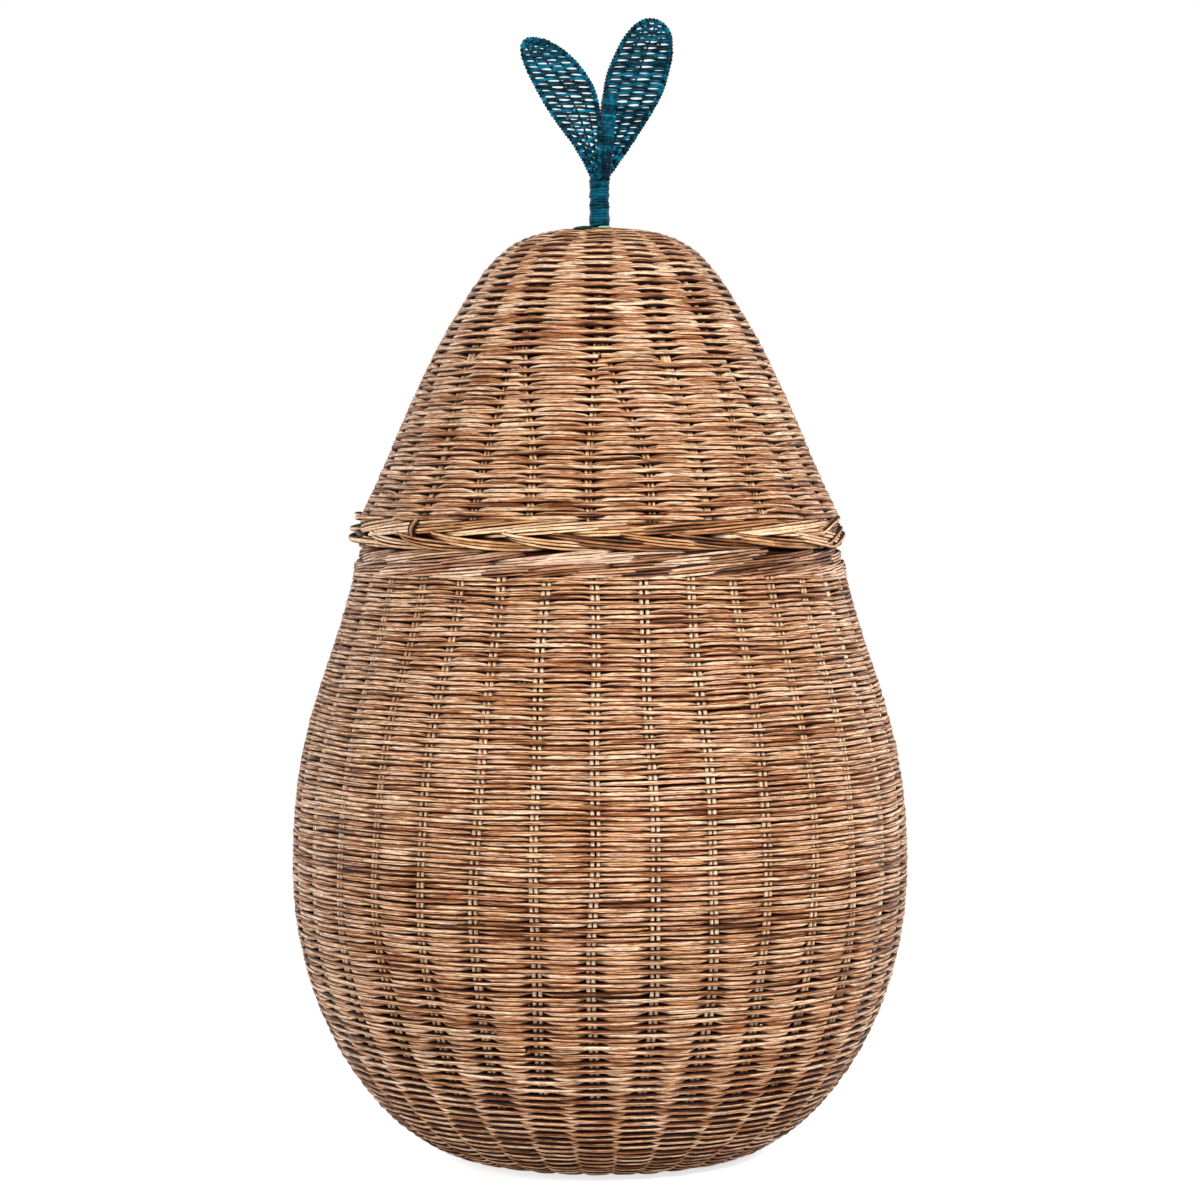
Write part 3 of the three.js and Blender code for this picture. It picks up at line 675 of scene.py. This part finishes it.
for k, part in enumerate(sliced(bodyWeaver, 4)):
    finished(rodMesh("side_weave_%d" % (k + 1), part), bodyCane, ["side_weave"] if k == 0 else ())
print("side weave:", len(bodyWeaver["strand"]), "stations")

s = np.linspace(0.5 * mm, bodyLength, 110)
parts = []
for j in range(body["stakes"]):
    for side in (-1, 1):
        seed = 300 + 2 * j + side
        rod = body["rod"] * (1 + 0.05 * seeded(seed).normal())
        lean = side * body["pair"] * (1 + 0.18 * np.sin(2 * pi * s / 0.2 + seed))
        parts.append(stakeRod(bodyWall, s, bodyStake(j, s), lean, body["stakeDepth"], rod, seed))
stakeNodes = ["body_stake_%02d" % (j + 1) for j in range(body["stakes"])]
finished(rodMesh("body_stakes", merged(parts), 7), bodyRods, stakeNodes)
print("body stakes")

# Foot, base and rim of the body

footLook = dict(
    rods=2, spread=0.55, steps=560, pieces=7, wander=0.18, rodWander=0.1, swell=0.02,
    square=0.5, even=0.97, tone=(0.14, 0.22), sizeSpread=0.09,
)
foot = dict(radius=81 * mm, height=4.6 * mm, halfOut=6.6 * mm, halfUp=2.75 * mm, strands=4)
wound = rope(*foot.values(), body["stakes"] / foot["strands"], 1.6 * mm, footLook, 500)
core = hoops([(78, 4.6), (81.5, 4.6), (85, 4.6)], 1.7 * mm, 0.2)
finished(rodMesh("foot_wale_rods", merged([wound, core])), bodyCane, ["foot_wale"])

base = dict(
    sticks=15,
    low=3 * mm,  # radius of its middle hole
    run=69 * mm,
    edge=72.2 * mm,
    lift=2.1 * mm,
    dome=5 * mm,
    pitch=3.1 * mm,
    rod=1.2 * mm,
    pair=1.4 * mm,
    depth=3.5 * mm,
)
baseRun = np.linspace(0, 1, 200) * base["run"]
baseRadius = base["low"] + baseRun
baseWall = dict(
    s=baseRun,
    r=baseRadius,
    z=base["lift"] + base["dome"] * np.cos(pi / 2 * baseRadius / base["edge"]),
    nr=0 * baseRun,
    nz=0 * baseRun - 1,
)
baseLook = dict(
    bodyLook,
    depth=base["depth"],
    amplitude=2.1 * mm,
    thick=1.25 * mm,
    swing=([0, 0.03], [0.5, 1]),
    endsShow=0,
)


def baseStick(j, s):
    # the bottom's sticks stand at even angles
    return 2 * pi * j / base["sticks"] + 0 * s


low, high = 0.5 * mm, base["run"] - 1 * mm
parts = [weave(baseWall, low, high, base["pitch"], base["sticks"], baseStick, baseLook, 520)]
s = np.linspace(0, base["run"], 30)
for j in range(base["sticks"]):
    for side in (-1, 1):
        seed = 540 + 2 * j + side
        lean = side * base["pair"]
        parts.append(stakeRod(baseWall, s, baseStick(j, s), lean, base["depth"], base["rod"], seed))
finished(rodMesh("base_randing", merged(parts)), bodyCane, ["base_weave"])
print("foot and base")

waleLook = dict(
    steps=44,
    rods=3,
    run=2.6,  # stakes that a strand passes over
    bend=1.0,  # 1 rises evenly, more turns level early
    loose=0.1,  # spread of the starts, in stakes
    uneven=0.4 * mm,
    apart=(0.4, 0.5),  # rod widths between two rods at a strand's ends, and how many more in its middle
    tuck=5 * mm,  # how far its ends go in
    enter=(0.12, 0.1),  # share of the run in which its first rod comes out, and how much later each next
    leave=0.12,  # share of the run in which it goes back in
    under=1.8 * mm,  # how far it slips under the next strand
    slip=(0.35, 0.5),  # where in the run that starts, and the share that it takes
    tone=(0.24, 0.1, 0.08),  # spread of the strands' tones, of a strand's rods, and along a rod
)
wale = [
    laid(body["stakes"], 1.2 * mm, 168.4 * mm, 402.6 * mm, 408.6 * mm, waleLook, 600),
    hoops([(162, 401.6), (163.6, 404.2), (162, 407)], 1.7 * mm, 0.1),
]
finished(rodMesh("body_wale_rods", merged(wale)), bodyRim, ["body_rim_wale"])
borderLook = dict(waleLook, run=2.7, bend=1.15, uneven=0.5 * mm, loose=0.16)
border = [
    laid(body["stakes"], 1.2 * mm, 164.8 * mm, 409.8 * mm, 417 * mm, borderLook, 640),
    hoops([(158.6, 411.4), (160.4, 414.1), (158.6, 416.8)], 1.9 * mm, 0.1),
]
finished(rodMesh("body_border_rods", merged(border)), bodyRim, ["body_rim_border"])
print("body rim")

# Lid

lidWall = wall(
    [(163.6, 434.8), (164.2, 437), (164.4, 439), (164.4, 440.8)],
    [(164.4, 440.8), (138.9, 492.8), (132.5, 519.8), (103.5, 570)],
    [(103.5, 570), (74.5, 620.2), (61, 638), (6, 638)],
)
lidLength = lidWall["s"][-1]
lid = dict(
    stakes=23,
    turn=radians(-2.6),
    lone=(2, 11, 20),  # stakes at the rim whose bundle doesn't fork
    crownTurn=radians(-4.5),
    pitch=3.4 * mm,
    rod=1.25 * mm,
    forkTop=562 * mm,  # heights between which a bundle's halves part
    forkFoot=470 * mm,
    forkHalf=2.6 * mm,  # how far a half stands to the side in its bundle
    changeOver=546 * mm,  # weaving round bundles above, round stakes below
    wander=radians(0.4),
    waves=(0.2, 0.09),
    bundleWave=0.12,
    stakeDepth=4.35 * mm,
    outerSink=1.5 * mm,  # how much deeper the outer two rods of a bundle lie, half behind the middle two
)
bundles = []
j = 0
while j < lid["stakes"]:
    bundles.append([j] if j in lid["lone"] else [j, j + 1])
    j += len(bundles[-1])
rimAngles = crowded(lid["turn"] + 2 * pi * np.arange(lid["stakes"]) / lid["stakes"])
bundleAngles = np.array([rimAngles[b].mean() for b in bundles]) + lid["crownTurn"]
trunkOf = np.array([k for k, b in enumerate(bundles) for _ in b])
sideOf = np.array([0 if len(b) == 1 else 2 * i - 1 for b in bundles for i in range(len(b))])
lidWander = rng.uniform(0, 2 * pi, (2, lid["stakes"]))


def turned(angles, j):
    # the angle of item j of a list that repeats every turn
    return angles[j % len(angles)] + 2 * pi * (j // len(angles))


def lidBundle(j, s):
    # a bundle's angle, with a slow wander
    j = np.asarray(j)
    slow = np.sin(2 * pi * s / lid["bundleWave"] + lidWander[0][j % len(bundles)])
    return turned(bundleAngles, j) + lid["wander"] * slow


def lidStake(j, s):
    # below the fork a stake's angle goes smoothly from its half of the bundle to its place at the rim
    j = np.asarray(j)
    k = j % lid["stakes"]
    z = np.interp(s, lidWall["s"], lidWall["z"])
    r = np.interp(s, lidWall["s"], lidWall["r"])
    down = ease((lid["forkTop"] - z) / (lid["forkTop"] - lid["forkFoot"]))
    top = bundleAngles[trunkOf[k]] + 2 * pi * (j // lid["stakes"])
    top += sideOf[k] * lid["forkHalf"] / (r - 4 * mm)
    slow = wandering(s, lidWander[:, k], *lid["waves"], 0.5)
    return (1 - down) * top + down * turned(rimAngles, j) + lid["wander"] * slow * down


changeAt = np.interp(lid["changeOver"], lidWall["z"], lidWall["s"])
fromEnd = lambda *distances: [0, *(lidLength - d * mm for d in distances)]
rimLook = dict(
    bodyLook,
    swing=([0, 1], [1, 1]),
    dip=([0, 1], [24, 24]),
    fuller=([0, 1], [0.16, 0.16]),
    wide=1.84 * mm,
    shift=0.55 * mm,
    rows=([0, 0.06, 0.1], [1.02, 0.98, 0.96]),
    lift=(radians(42), 10 * mm, 2.4 * mm, 0.2, 7 * mm),
)
crownLook = dict(
    rimLook,
    perStake=14,
    dip=(fromEnd(80, 50), [17, 10, 6]),
    narrow=(fromEnd(110, 60), [0.22, 0.08, 0]),
    narrowFrom=0.45,
    fuller=(fromEnd(110, 60), [0.18, 0.32, 0.48]),
    sink=0.3 * mm,
    arch=(fromEnd(110, 50), [0.2 * mm, 0.7 * mm, 1.2 * mm]),
    amplitude=2.9 * mm,
    rows=(fromEnd(100, 60), [0.93, 0.91, 0.86]),
    swing=(fromEnd(60, 14, 0), [1, 1, 0.6, 0.3]),
    strand=(0.6, 1.8),
    toneSpread=0.05,
)
lower = weave(lidWall, 1.6 * mm, changeAt, lid["pitch"], lid["stakes"], lidStake, rimLook, 700)
low, high = changeAt + 0.3 * mm, lidLength - 3.5 * mm
upper = weave(lidWall, low, high, lid["pitch"], len(bundles), lidBundle, crownLook, 720)
lidWeaver = merged([lower, upper])
for k, part in enumerate(sliced(lidWeaver, 2)):
    finished(rodMesh("lid_weave_%d" % (k + 1), part), lidCane, ["lid_weave"] if k == 0 else ())
print("lid weave:", len(lidWeaver["strand"]), "stations")

forkAt = np.interp(lid["forkTop"], lidWall["z"], lidWall["s"])
parts = []
for k, rim in enumerate(bundles):
    # four rods side by side, of which each half follows one of the bundle's stakes below the fork; where a
    # bundle doesn't fork its fourth rod ends above the rim
    alone = len(rim) == 1
    for i in range(4):
        seed = 800 + 4 * k + i
        short = alone and i == 3
        s = np.linspace(75 * mm if short else 0.3 * mm, lidLength - 13 * mm, 50 if short else 75)
        branch = rim[0] if alone or i < 2 else rim[1]
        forked = np.clip((forkAt - s) / (6 * mm), 0, 1)
        inBundle = (i - 1.5) * 1.35 * lid["rod"]
        inBranch = inBundle if alone else ((i % 2) - 0.5) * 2.25 * lid["rod"]
        angle = (1 - forked) * lidBundle(k, s) + forked * lidStake(branch, s)
        offset = (1 - forked) * inBundle + forked * inBranch
        rod = lid["rod"] * (1 + 0.06 * seeded(seed).normal())
        depth = lid["stakeDepth"] + (1 - forked) * (lid["outerSink"] if i in (0, 3) else 0)
        parts.append(stakeRod(lidWall, s, angle, offset, depth, rod, seed))
stakeNodes = ["lid_stake_%02d" % (k + 1) for k in range(len(bundles))]
finished(rodMesh("lid_stakes", merged(parts), 7), lidRods, stakeNodes)
print("lid stakes")

lidWaleLook = dict(waleLook, run=2.7, uneven=0.5 * mm, loose=0.14)
wale = [
    laid(lid["stakes"], 1.25 * mm, 164.6 * mm, 428.8 * mm, 437.8 * mm, lidWaleLook, 860),
    hoops([(157.5, 433), (159.6, 435.8), (157.5, 438.4)], 1.8 * mm, 0.1),
]
finished(rodMesh("lid_wale_rods", merged(wale)), lidRim, ["lid_rim_wale"])
lidBorderLook = dict(waleLook, run=2.5, bend=2.6, uneven=0.35 * mm, loose=0.12, under=2.6 * mm, tuck=6 * mm)
looseEnds = [
    (-86, 438.5, -62, 439.5, 4.5, 0.5, 0, 5, 1.3, 0.62),
    (-90, 442, -70, 440, 3.5, 0.6, 0, 5, 1.3, 0.7),
    (-104, 434.5, -80, 431.5, 6.5, -1, 5, 4, 1.7, 0.6),
    (-104, 429.5, -64, 423.5, 6.5, -1.2, 6, 5, 2.1, 0.66),
    (-92, 433, -74, 426, 1.5, 0, 3, 3, 2.6, 0),
    (-47.9, 427.6, -46.8, 437.2, 2.8, 0, 0, 0, 1.95, 0.35),
    (-49.2, 428.4, -48.6, 436.8, 1.6, 0, 0, 0, 1.2, 0),
    (66, 419.5, 84, 433, 2.5, 3, 5, 5, 1.5, 0.5),
    (72, 418.5, 90, 429, 3, 3, 5, 5, 1.5, 0.35),
    (62, 427, 80, 440, 2.5, 3, 5, 5, 1.4, 0.6),
]
border = [
    laid(lid["stakes"], 1.25 * mm, 165.6 * mm, 430 * mm, 421.6 * mm, lidBorderLook, 880),
    hoops([(157, 421.6), (158, 425), (157, 428.4)], 1.9 * mm, 0.1),
    strays(looseEnds, 164.8 * mm),
]
finished(rodMesh("lid_border_rods", merged(border)), lidRim, ["lid_rim_border"])

# Locating ring: a stack of hoops, in mm, and flat skeins round it, each a rounded box in radius and height
ring = dict(
    radius=149, low=399.3, high=428.2, hoops=7, rod=2.4 * mm, lashings=17, firstLashing=0.4, boxWide=2.55,
    boxOver=2.6, skein=(0.4 * mm, 2.2 * mm),
)
places = [(ring["radius"], z) for z in np.linspace(ring["low"], ring["high"], ring["hoops"])]
parts = [hoops(places, ring["rod"], 0.5, behind=0)]
around = np.linspace(0, 2 * pi, 41)
half = (ring["high"] - ring["low"]) / 2 + ring["boxOver"]
r = ring["radius"] + ring["boxWide"] * np.clip(3 * np.cos(around), -1, 1)
z = (ring["high"] + ring["low"]) / 2 + half * np.clip(1.15 * np.sin(around), -1, 1)
for k in range(ring["lashings"]):
    turn = 2 * pi * (k + ring["firstLashing"]) / ring["lashings"]
    out = polar(turn, np.cos(around), np.sin(around))
    parts.append(rodStations(polar(turn, r * mm, z * mm), out, *ring["skein"], 0, 0.6))
finished(rodMesh("locating_hoops", merged(parts)), lidCane, ["locating_ring"])
print("lid rim")

# Stalk

stalk = dict(
    x=-0.4 * mm,
    low=638 * mm,
    high=669.6 * mm,
    collar=2.2 * mm,  # the binding goes on this far over the leaves' feet
    inset=(0.6 * mm, 1.1 * mm),  # from the binding's ends to the middle of its first and last turn
    radius=6.9 * mm,
    turns=16,
    perTurn=36,
    skein=(0.75 * mm, 1.2 * mm),
    flare=(1.07, 0.09, 0.045),  # size at the ends, how much less in the middle, and how uneven
    core=3.3 * mm,  # six rods stand this far round a middle one
    coreRod=1.65 * mm,
    coreDown=9.5 * mm,  # and start this far below the crown
)
count = stalk["turns"] * stalk["perTurn"]
turn = np.linspace(0, 2 * pi * stalk["turns"], count)
low = stalk["low"] + stalk["inset"][0]
tall = stalk["high"] + stalk["collar"] - stalk["inset"][1] - low
z = low + tall * turn / turn[-1] + 0.35 * mm * noise(count, 50, 7)
ends, waist, uneven = stalk["flare"]
flare = ends - waist * np.sin(pi * turn / turn[-1]) + uneven * noise(count, 30, 5)
r = (stalk["radius"] - stalk["skein"][0]) * flare
tone = 0.45 + 0.12 * noise(count, 24, 6)
centre = polar(turn, r, z) + [stalk["x"], 0, 0]
loops = rodStations(centre, polar(turn, 1, 0), *stalk["skein"], 0, tone)
finished(rodMesh("stalk_binding", loops, 10), tealSkein, ["stem_binding"])

z = np.linspace(stalk["low"] - stalk["coreDown"], stalk["high"], 24)
parts = []
for k in range(7):
    centre = polar(2 * pi * k / 6, 0 if k == 6 else stalk["core"], z) + [stalk["x"], 0, 0]
    parts.append(rodStations(centre, [0, -1, 0], stalk["coreRod"], stalk["coreRod"], 0, 0.3))
finished(rodMesh("stalk_core", merged(parts)), tealSkein, ["stem_core"])


def wrapped(name, path, out, radius, wrap, tone, seed, sides):
    # A rod under a close wrapping: a tube whose radius dips along a fine helix, by the groove times a sharp
    # wave of the length over the pitch plus the turn; each wrap has a size and tone of its own.
    step = np.r_[0, np.linalg.norm(np.diff(path, axis=0), axis=1)]
    run = np.cumsum(step)
    along = unit(np.gradient(path, axis=0))
    across = unit(np.cross(along, out))
    outward = np.cross(across, along)
    v = 2 * pi * np.arange(sides) / sides
    fromBack = (v + pi) % (2 * pi)
    uneven = wrap["uneven"] * noise(len(path), 3 * wrap["pitch"] / step[1:].mean(), seed)
    phase = (run / wrap["pitch"] + uneven)[:, None] + fromBack[None] / (2 * pi)
    phase = phase - phase.min()
    number = np.floor(phase).astype(int)
    source = seeded(seed + 1)
    size = radius[:, None] * (1 + wrap["sizeSpread"] * source.normal(size=number.max() + 1)[number])
    size = size - wrap["groove"] * (1 - np.abs(np.sin(pi * phase))) ** 2
    shade = tone[:, None] + wrap["toneSpread"] * source.normal(size=number.max() + 1)[number]
    points = path[:, None] + outward[:, None] * (size * np.cos(v))[..., None]
    points += across[:, None] * (size * np.sin(v))[..., None]
    ends = np.r_[0, np.arange(len(path)), len(path) - 1]
    points = points[ends]
    points[0] = path[0]
    points[-1] = path[-1]
    split = np.r_[np.zeros(len(points) - 1, bool), True]
    return gridMesh(name, points, run[ends], split, {"tone": np.clip(shade, 0, 1)[ends]})


stubWrap = dict(pitch=2.4 * mm, groove=0.5 * mm, uneven=0.35, sizeSpread=0.05, toneSpread=0.12)
stub = dict(
    foot=(3.8, 0.0, 670.2),
    top=(6.8, 0.0, 731.2),
    radius=([0, 0.1, 0.85, 0.96, 0.985, 1], [2.9, 3.4, 5.3, 5.35, 4.9, 3.6]),  # by the share of its height
)
t = np.linspace(0, 1, 400)
low = np.array(stub["foot"]) * mm
path = low + t[:, None] * (np.array(stub["top"]) * mm - low)
radius = np.interp(t, *stub["radius"]) * mm
tone = 0.45 + 0.1 * noise(len(t), 30, 8)
piece = wrapped("stub_wrapping", path, [0, -1, 0], radius, stubWrap, tone, 8, 20)
finished(piece, tealSkein, ["stem_stub"])


def onCrown(fromX, toX, back, wide, thick, tone):
    # a strip of skein laid level across the crown, back from the end of the wall's arc, tapered to both
    # ends
    t = np.linspace(-1, 1, 30)
    s = lidLength - back
    r = np.interp(s, lidWall["s"], lidWall["r"])
    angle = np.arcsin(((fromX + toX) / 2 + (toX - fromX) / 2 * t) / r)
    centre, out = onWall(lidWall, s + 0 * t, -0.4 * mm, angle)
    taper = np.sqrt(np.maximum(1 - t ** 2, 0.02))
    return rodStations(centre, out, thick * taper, wide * taper, 0, tone)


greenEnd = onCrown(-17.6 * mm, -5 * mm, 29 * mm, 6.5 * mm, 1.1 * mm, 0.35)
finished(rodMesh("green_skein_end", greenEnd), greenSkein)
paleEnd = onCrown(-1.5 * mm, 7.5 * mm, 27 * mm, 1.6 * mm, 0.9 * mm, 1)
finished(rodMesh("pale_skein_end", paleEnd), greenSkein)
print("stalk")

# Leaves: a wrapped frame with three ribs, and fine weavers in nearly level rows. Their sizes are in mm.

leafFrame = dict(footWidth=4, rod=3.4, step=0.3 * mm, swell=1.14, sides=12)
frameWrap = dict(stubWrap, groove=1.05 * mm)
web = dict(
    pitch=2.2 * mm,
    rod=(0.66 * mm, 1.0 * mm),
    swing=0.8 * mm,
    pinch=0.36 * mm,  # how far a row strays up and down between the ribs
    uneven=0.3 * mm,
    steps=41,
    denseTo=30 * mm,  # the rows are wider below this height, by this share at most
    dense=0.35,
    ends=(1.5 * mm, 2 * mm),  # from the leaf's foot and tip to the first and last row
    shortest=2.5 * mm,
    ribs=(-0.5, 0.0, 0.5),  # shares of the half width
    ribRod=(0.6 * mm, 0.7 * mm),
)
leaves = dict(
    left=dict(
        length=108.4, width=36, turn=-26.8, lean=-2, foot=(-2.4, -2.2, 670.7),
        widestAt=0.57, footOut=0.44, footUp=0.32, belowWidest=0.14, aboveWidest=0.29,
        tipOut=0.46, bow=9.5, fuller=1.0, seed=4,
    ),
    right=dict(
        length=119.6, width=41, turn=19.6, lean=4, foot=(-0.2, 5.1, 670.7),
        widestAt=0.61, footOut=0.2, footUp=0.1, belowWidest=0.1, aboveWidest=0.22,
        tipOut=0.75, bow=0, fuller=1.15, seed=5,
    ),
)


def leafSide(leaf, inset):
    # the two cubic arcs of a leaf's side, drawn in by the inset
    half = leaf["width"] / 2
    foot = (leafFrame["footWidth"] + leafFrame["rod"]) / 2
    length = leaf["length"]
    widest = leaf["widestAt"] * length
    lower = [
        (foot, 0), (foot + leaf["footOut"] * half, leaf["footUp"] * length),
        (half, widest - leaf["belowWidest"] * length), (half, widest),
    ]
    upper = [
        (half, widest), (half, widest + leaf["aboveWidest"] * length),
        (leaf["tipOut"] * half, length), (0, length),
    ]
    t = np.linspace(0, 1, 160)[:, None]
    line = np.vstack([cubic(lower, t), cubic(upper, t)[1:]])
    along = unit(np.gradient(line, axis=0))
    return np.stack([line[:, 0] - inset * along[:, 1], line[:, 1] + inset * along[:, 0]], -1) * mm


def placed(leaf, flat, height):
    # leaf plane to the basket: x across, y up, height towards the front; bowed, leant back, then turned
    lean, turn = radians(leaf["lean"]), radians(leaf["turn"])
    y = flat[..., 1]
    share = np.clip(y / (leaf["length"] * mm), 0, 1)
    x = flat[..., 0] + leaf["bow"] * mm * 4 * share * (1 - share)
    up = y * cos(lean) + height * sin(lean)
    back = y * sin(lean) - height * cos(lean)
    side = x * cos(turn) + up * sin(turn)
    rise = -x * sin(turn) + up * cos(turn)
    return np.stack([side, back, rise], -1) + np.array(leaf["foot"]) * mm


def facing(leaf):
    # the way that a leaf's front looks
    lean, turn = radians(leaf["lean"]), radians(leaf["turn"])
    return np.array([sin(lean) * sin(turn), -cos(lean), sin(lean) * cos(turn)])


def wrappedFrame(name, leaf):
    # both sides of the leaf as one bent rod, wrapped from foot to foot
    side = leafSide(leaf, leafFrame["rod"] / 2)
    loop = np.vstack([side, side[::-1][1:] * [-1, 1]])
    run = np.r_[0, np.cumsum(np.linalg.norm(np.diff(loop, axis=0), axis=1))]
    fine = np.arange(0, run[-1], leafFrame["step"])
    loop = np.stack([np.interp(fine, run, loop[:, 0]), np.interp(fine, run, loop[:, 1])], -1)
    radius = leafFrame["rod"] / 2 * mm * leafFrame["swell"] * (1 + 0.04 * noise(len(fine), 9, 31))
    tone = 0.4 + 0.16 * noise(len(fine), 8, 33)
    path = placed(leaf, loop, 0 * fine)
    return wrapped(name, path, facing(leaf), radius, frameWrap, tone, 35 + leaf["seed"], leafFrame["sides"])


def leafRows(leaf, half):
    # The rows of the web are level in the basket, so in the leaf y = row + x tan(turn). Where each meets
    # the frame on either side is found by halving. Gives each row's y in the middle, and the x of its two
    # ends.
    turn = radians(leaf["turn"])
    first, last = web["ends"]
    rows = np.arange(first, leaf["length"] * mm - last, web["pitch"] / cos(turn))
    way = np.array([[-1], [1]])
    near = 0 * rows * way
    far = near + leaf["width"] / 2 * mm
    for _ in range(24):
        middle = (near + far) / 2
        within = half(rows + way * middle * tan(turn)) > middle
        near = np.where(within, middle, near)
        far = np.where(within, far, middle)
    left, right = way * near
    keep = right - left > web["shortest"]
    return rows[keep], left[keep], right[keep]


def leafWeb(leaf):
    # Each row swings in front of and behind the ribs, height = swing cos(4 pi u) over its run u, the next
    # one the other way about. Between the ribs it strays up and down, and all rows differ in width.
    inner = leafSide(leaf, leafFrame["rod"] * 0.6)
    half = lambda y: np.interp(y, inner[:, 1], inner[:, 0], left=0, right=0)
    rows, left, right = leafRows(leaf, half)
    source = seeded(90 + leaf["seed"])
    u = np.linspace(0, 1, web["steps"])
    bays = 2 * len(web["ribs"]) - 2
    count = len(rows)
    x = left[:, None] + (right - left)[:, None] * u
    parity = np.where(np.arange(count)[:, None] % 2, -1.0, 1.0)
    height = web["swing"] * parity * np.cos(pi * bays * u[None])
    stray = web["pinch"] * parity * np.sin(pi * bays * u[None]) * source.uniform(0.1, 2.3, (count, 1))
    stray += web["uneven"] * source.normal(size=(count, 1)) * np.sin(pi * u)
    y = rows[:, None] + x * tan(radians(leaf["turn"])) + stray
    centre = placed(leaf, np.stack([x, y], -1), height).reshape(-1, 3)
    strand = np.repeat(np.arange(count), len(u))
    tone = 0.22 + 0.45 * source.beta(1.4, 1.7, count)[strand] + 0.12 * noise(len(centre), 9, 37)
    wide = 1 + web["dense"] * (1 - np.clip(rows / web["denseTo"], 0, 1))
    wide = leaf["fuller"] * (wide + 0.1 * source.normal(size=count))
    thick, full = web["rod"]
    parts = [rodStations(centre, facing(leaf), thick, full * wide[strand], strand, tone)]
    for share in web["ribs"]:
        y = np.linspace(3 * mm, (0.985 if share == 0 else 0.95) * leaf["length"] * mm, 90)
        rib = placed(leaf, np.stack([share * half(y), y], -1), 0 * y)
        parts.append(rodStations(rib, facing(leaf), *web["ribRod"], 0, 0.2))
    return merged(parts)


for name, leaf in leaves.items():
    finished(wrappedFrame("leaf_%s_wrapped_frame" % name, leaf), tealSkein, ["leaf_%s_frame" % name])
    finished(rodMesh("leaf_%s_weave" % name, leafWeb(leaf)), tealSkein, ["leaf_%s_web" % name])
print("leaves")

# Floor, light and camera

studio = dict(
    white="#ffffff",
    floor="#f4f3f1",
    floorReach=30,
    glow=0.74,  # the white that the camera adds to the floor, so that its shadow stays soft
    fade=(0.35, 1.0),  # m from the basket, where the floor turns to plain white
    world=0.27,
    aim=(0, 0, 0.38),
)
lights = {  # where each stands, its size, power and colour
    "key": ((1.6, -2.5, 1.9), (0.5, 0.5), 107, "#fff6ea"),
    "fill": ((-2.6, -1.9, 1.3), (1.4, 1.8), 56, "#fffaf4"),
    "top": ((0.0, 0.5, 2.8), (2.0, 2.0), 14, "#ffffff"),
    "backLeft": ((-2.2, 1.7, 1.2), (1.4, 1.8), 26, "#ffffff"),
    "backRight": ((2.2, 1.7, 1.2), (1.4, 1.8), 26, "#ffffff"),
}


def paperSweep():
    # Matt paper, pale and without a sheen. The camera sees a glow added to it, and plain white where the
    # sheet turns up far out.
    paper, tree, shader = blank("matt paper sweep")
    white = linear(studio["white"])
    seen = added(tree, "LightPath", {}, "Is Camera Ray")
    feed(tree, shader, {
        "Base Color": linear(studio["floor"]), "Roughness": 0.95, "Specular IOR Level": 0.0,
        "Emission Color": white, "Emission Strength": maths(tree, "MULTIPLY", seen, studio["glow"]),
    })
    place = added(tree, "TexCoord", {}, "Object")
    reach = added(tree, "VectorMath", {"operation": "LENGTH", 0: place}, "Value")
    faded = ranged(tree, reach, *studio["fade"], 0.0, 1.0, interpolation_type="SMOOTHSTEP")
    share = maths(tree, "MULTIPLY", faded, seen)
    plain = added(tree, "Emission", {"Color": white, "Strength": 1.0})
    sweep = added(tree, "MixShader", {0: share, 1: shader.outputs[0], 2: plain})
    feed(tree, tree.nodes["Material Output"], {"Surface": sweep})
    return paper


def softbox(name, place, size, power, colour):
    # a square or oblong lamp that looks at the basket
    light = bpy.data.lights.new(name, "AREA")
    light.shape = "RECTANGLE"
    light.size, light.size_y = size
    light.energy = power
    light.color = linear(colour)[:3]
    lamp = object3d(name, light)
    lamp.location = place
    aim = np.array(studio["aim"]) - np.array(place)
    lamp.rotation_euler = (atan2(hypot(aim[0], aim[1]), -aim[2]), 0, atan2(-aim[0], aim[1]))


reach = studio["floorReach"]
floorMesh = bpy.data.meshes.new("studio_floor")
corners = [(-reach, -reach, 0), (reach, -reach, 0), (reach, reach, 0), (-reach, reach, 0)]
floorMesh.from_pydata(corners, [], [(0, 1, 2, 3)])
object3d("studio_floor", floorMesh)
floorMesh.materials.append(paperSweep())

# the camera sees a white world, and the rest is lit by a weak one
world = bpy.data.worlds.new("studio")
bpy.context.scene.world = world
world.use_nodes = True
tree = world.node_tree
seen = added(tree, "LightPath", {}, "Is Camera Ray")
lit = maths(tree, "MULTIPLY_ADD", seen, 1 - studio["world"], studio["world"])
feed(tree, tree.nodes["Background"], {"Color": linear(studio["white"]), "Strength": lit})

for name, settings in lights.items():
    softbox(name, *settings)

# The photo's camera: its focal length and the horizon's height above the middle, in pixels of the photo
photo = dict(focal=3500, width=1200, horizon=105, distance=2.415, height=0.4547, sensor=36)
camera = bpy.data.cameras.new("camera")
camera.sensor_width = photo["sensor"]
camera.lens = photo["sensor"] * photo["focal"] / photo["width"]
camera.clip_end = 50
view = object3d("camera", camera)
view.location = (0, -photo["distance"], photo["height"])
view.rotation_euler = (pi / 2 - atan(photo["horizon"] / photo["focal"]), 0, 0)
bpy.context.scene.camera = view
bpy.context.scene.view_settings.view_transform = "Standard"
print("studio")

bpy.context.view_layer.update()
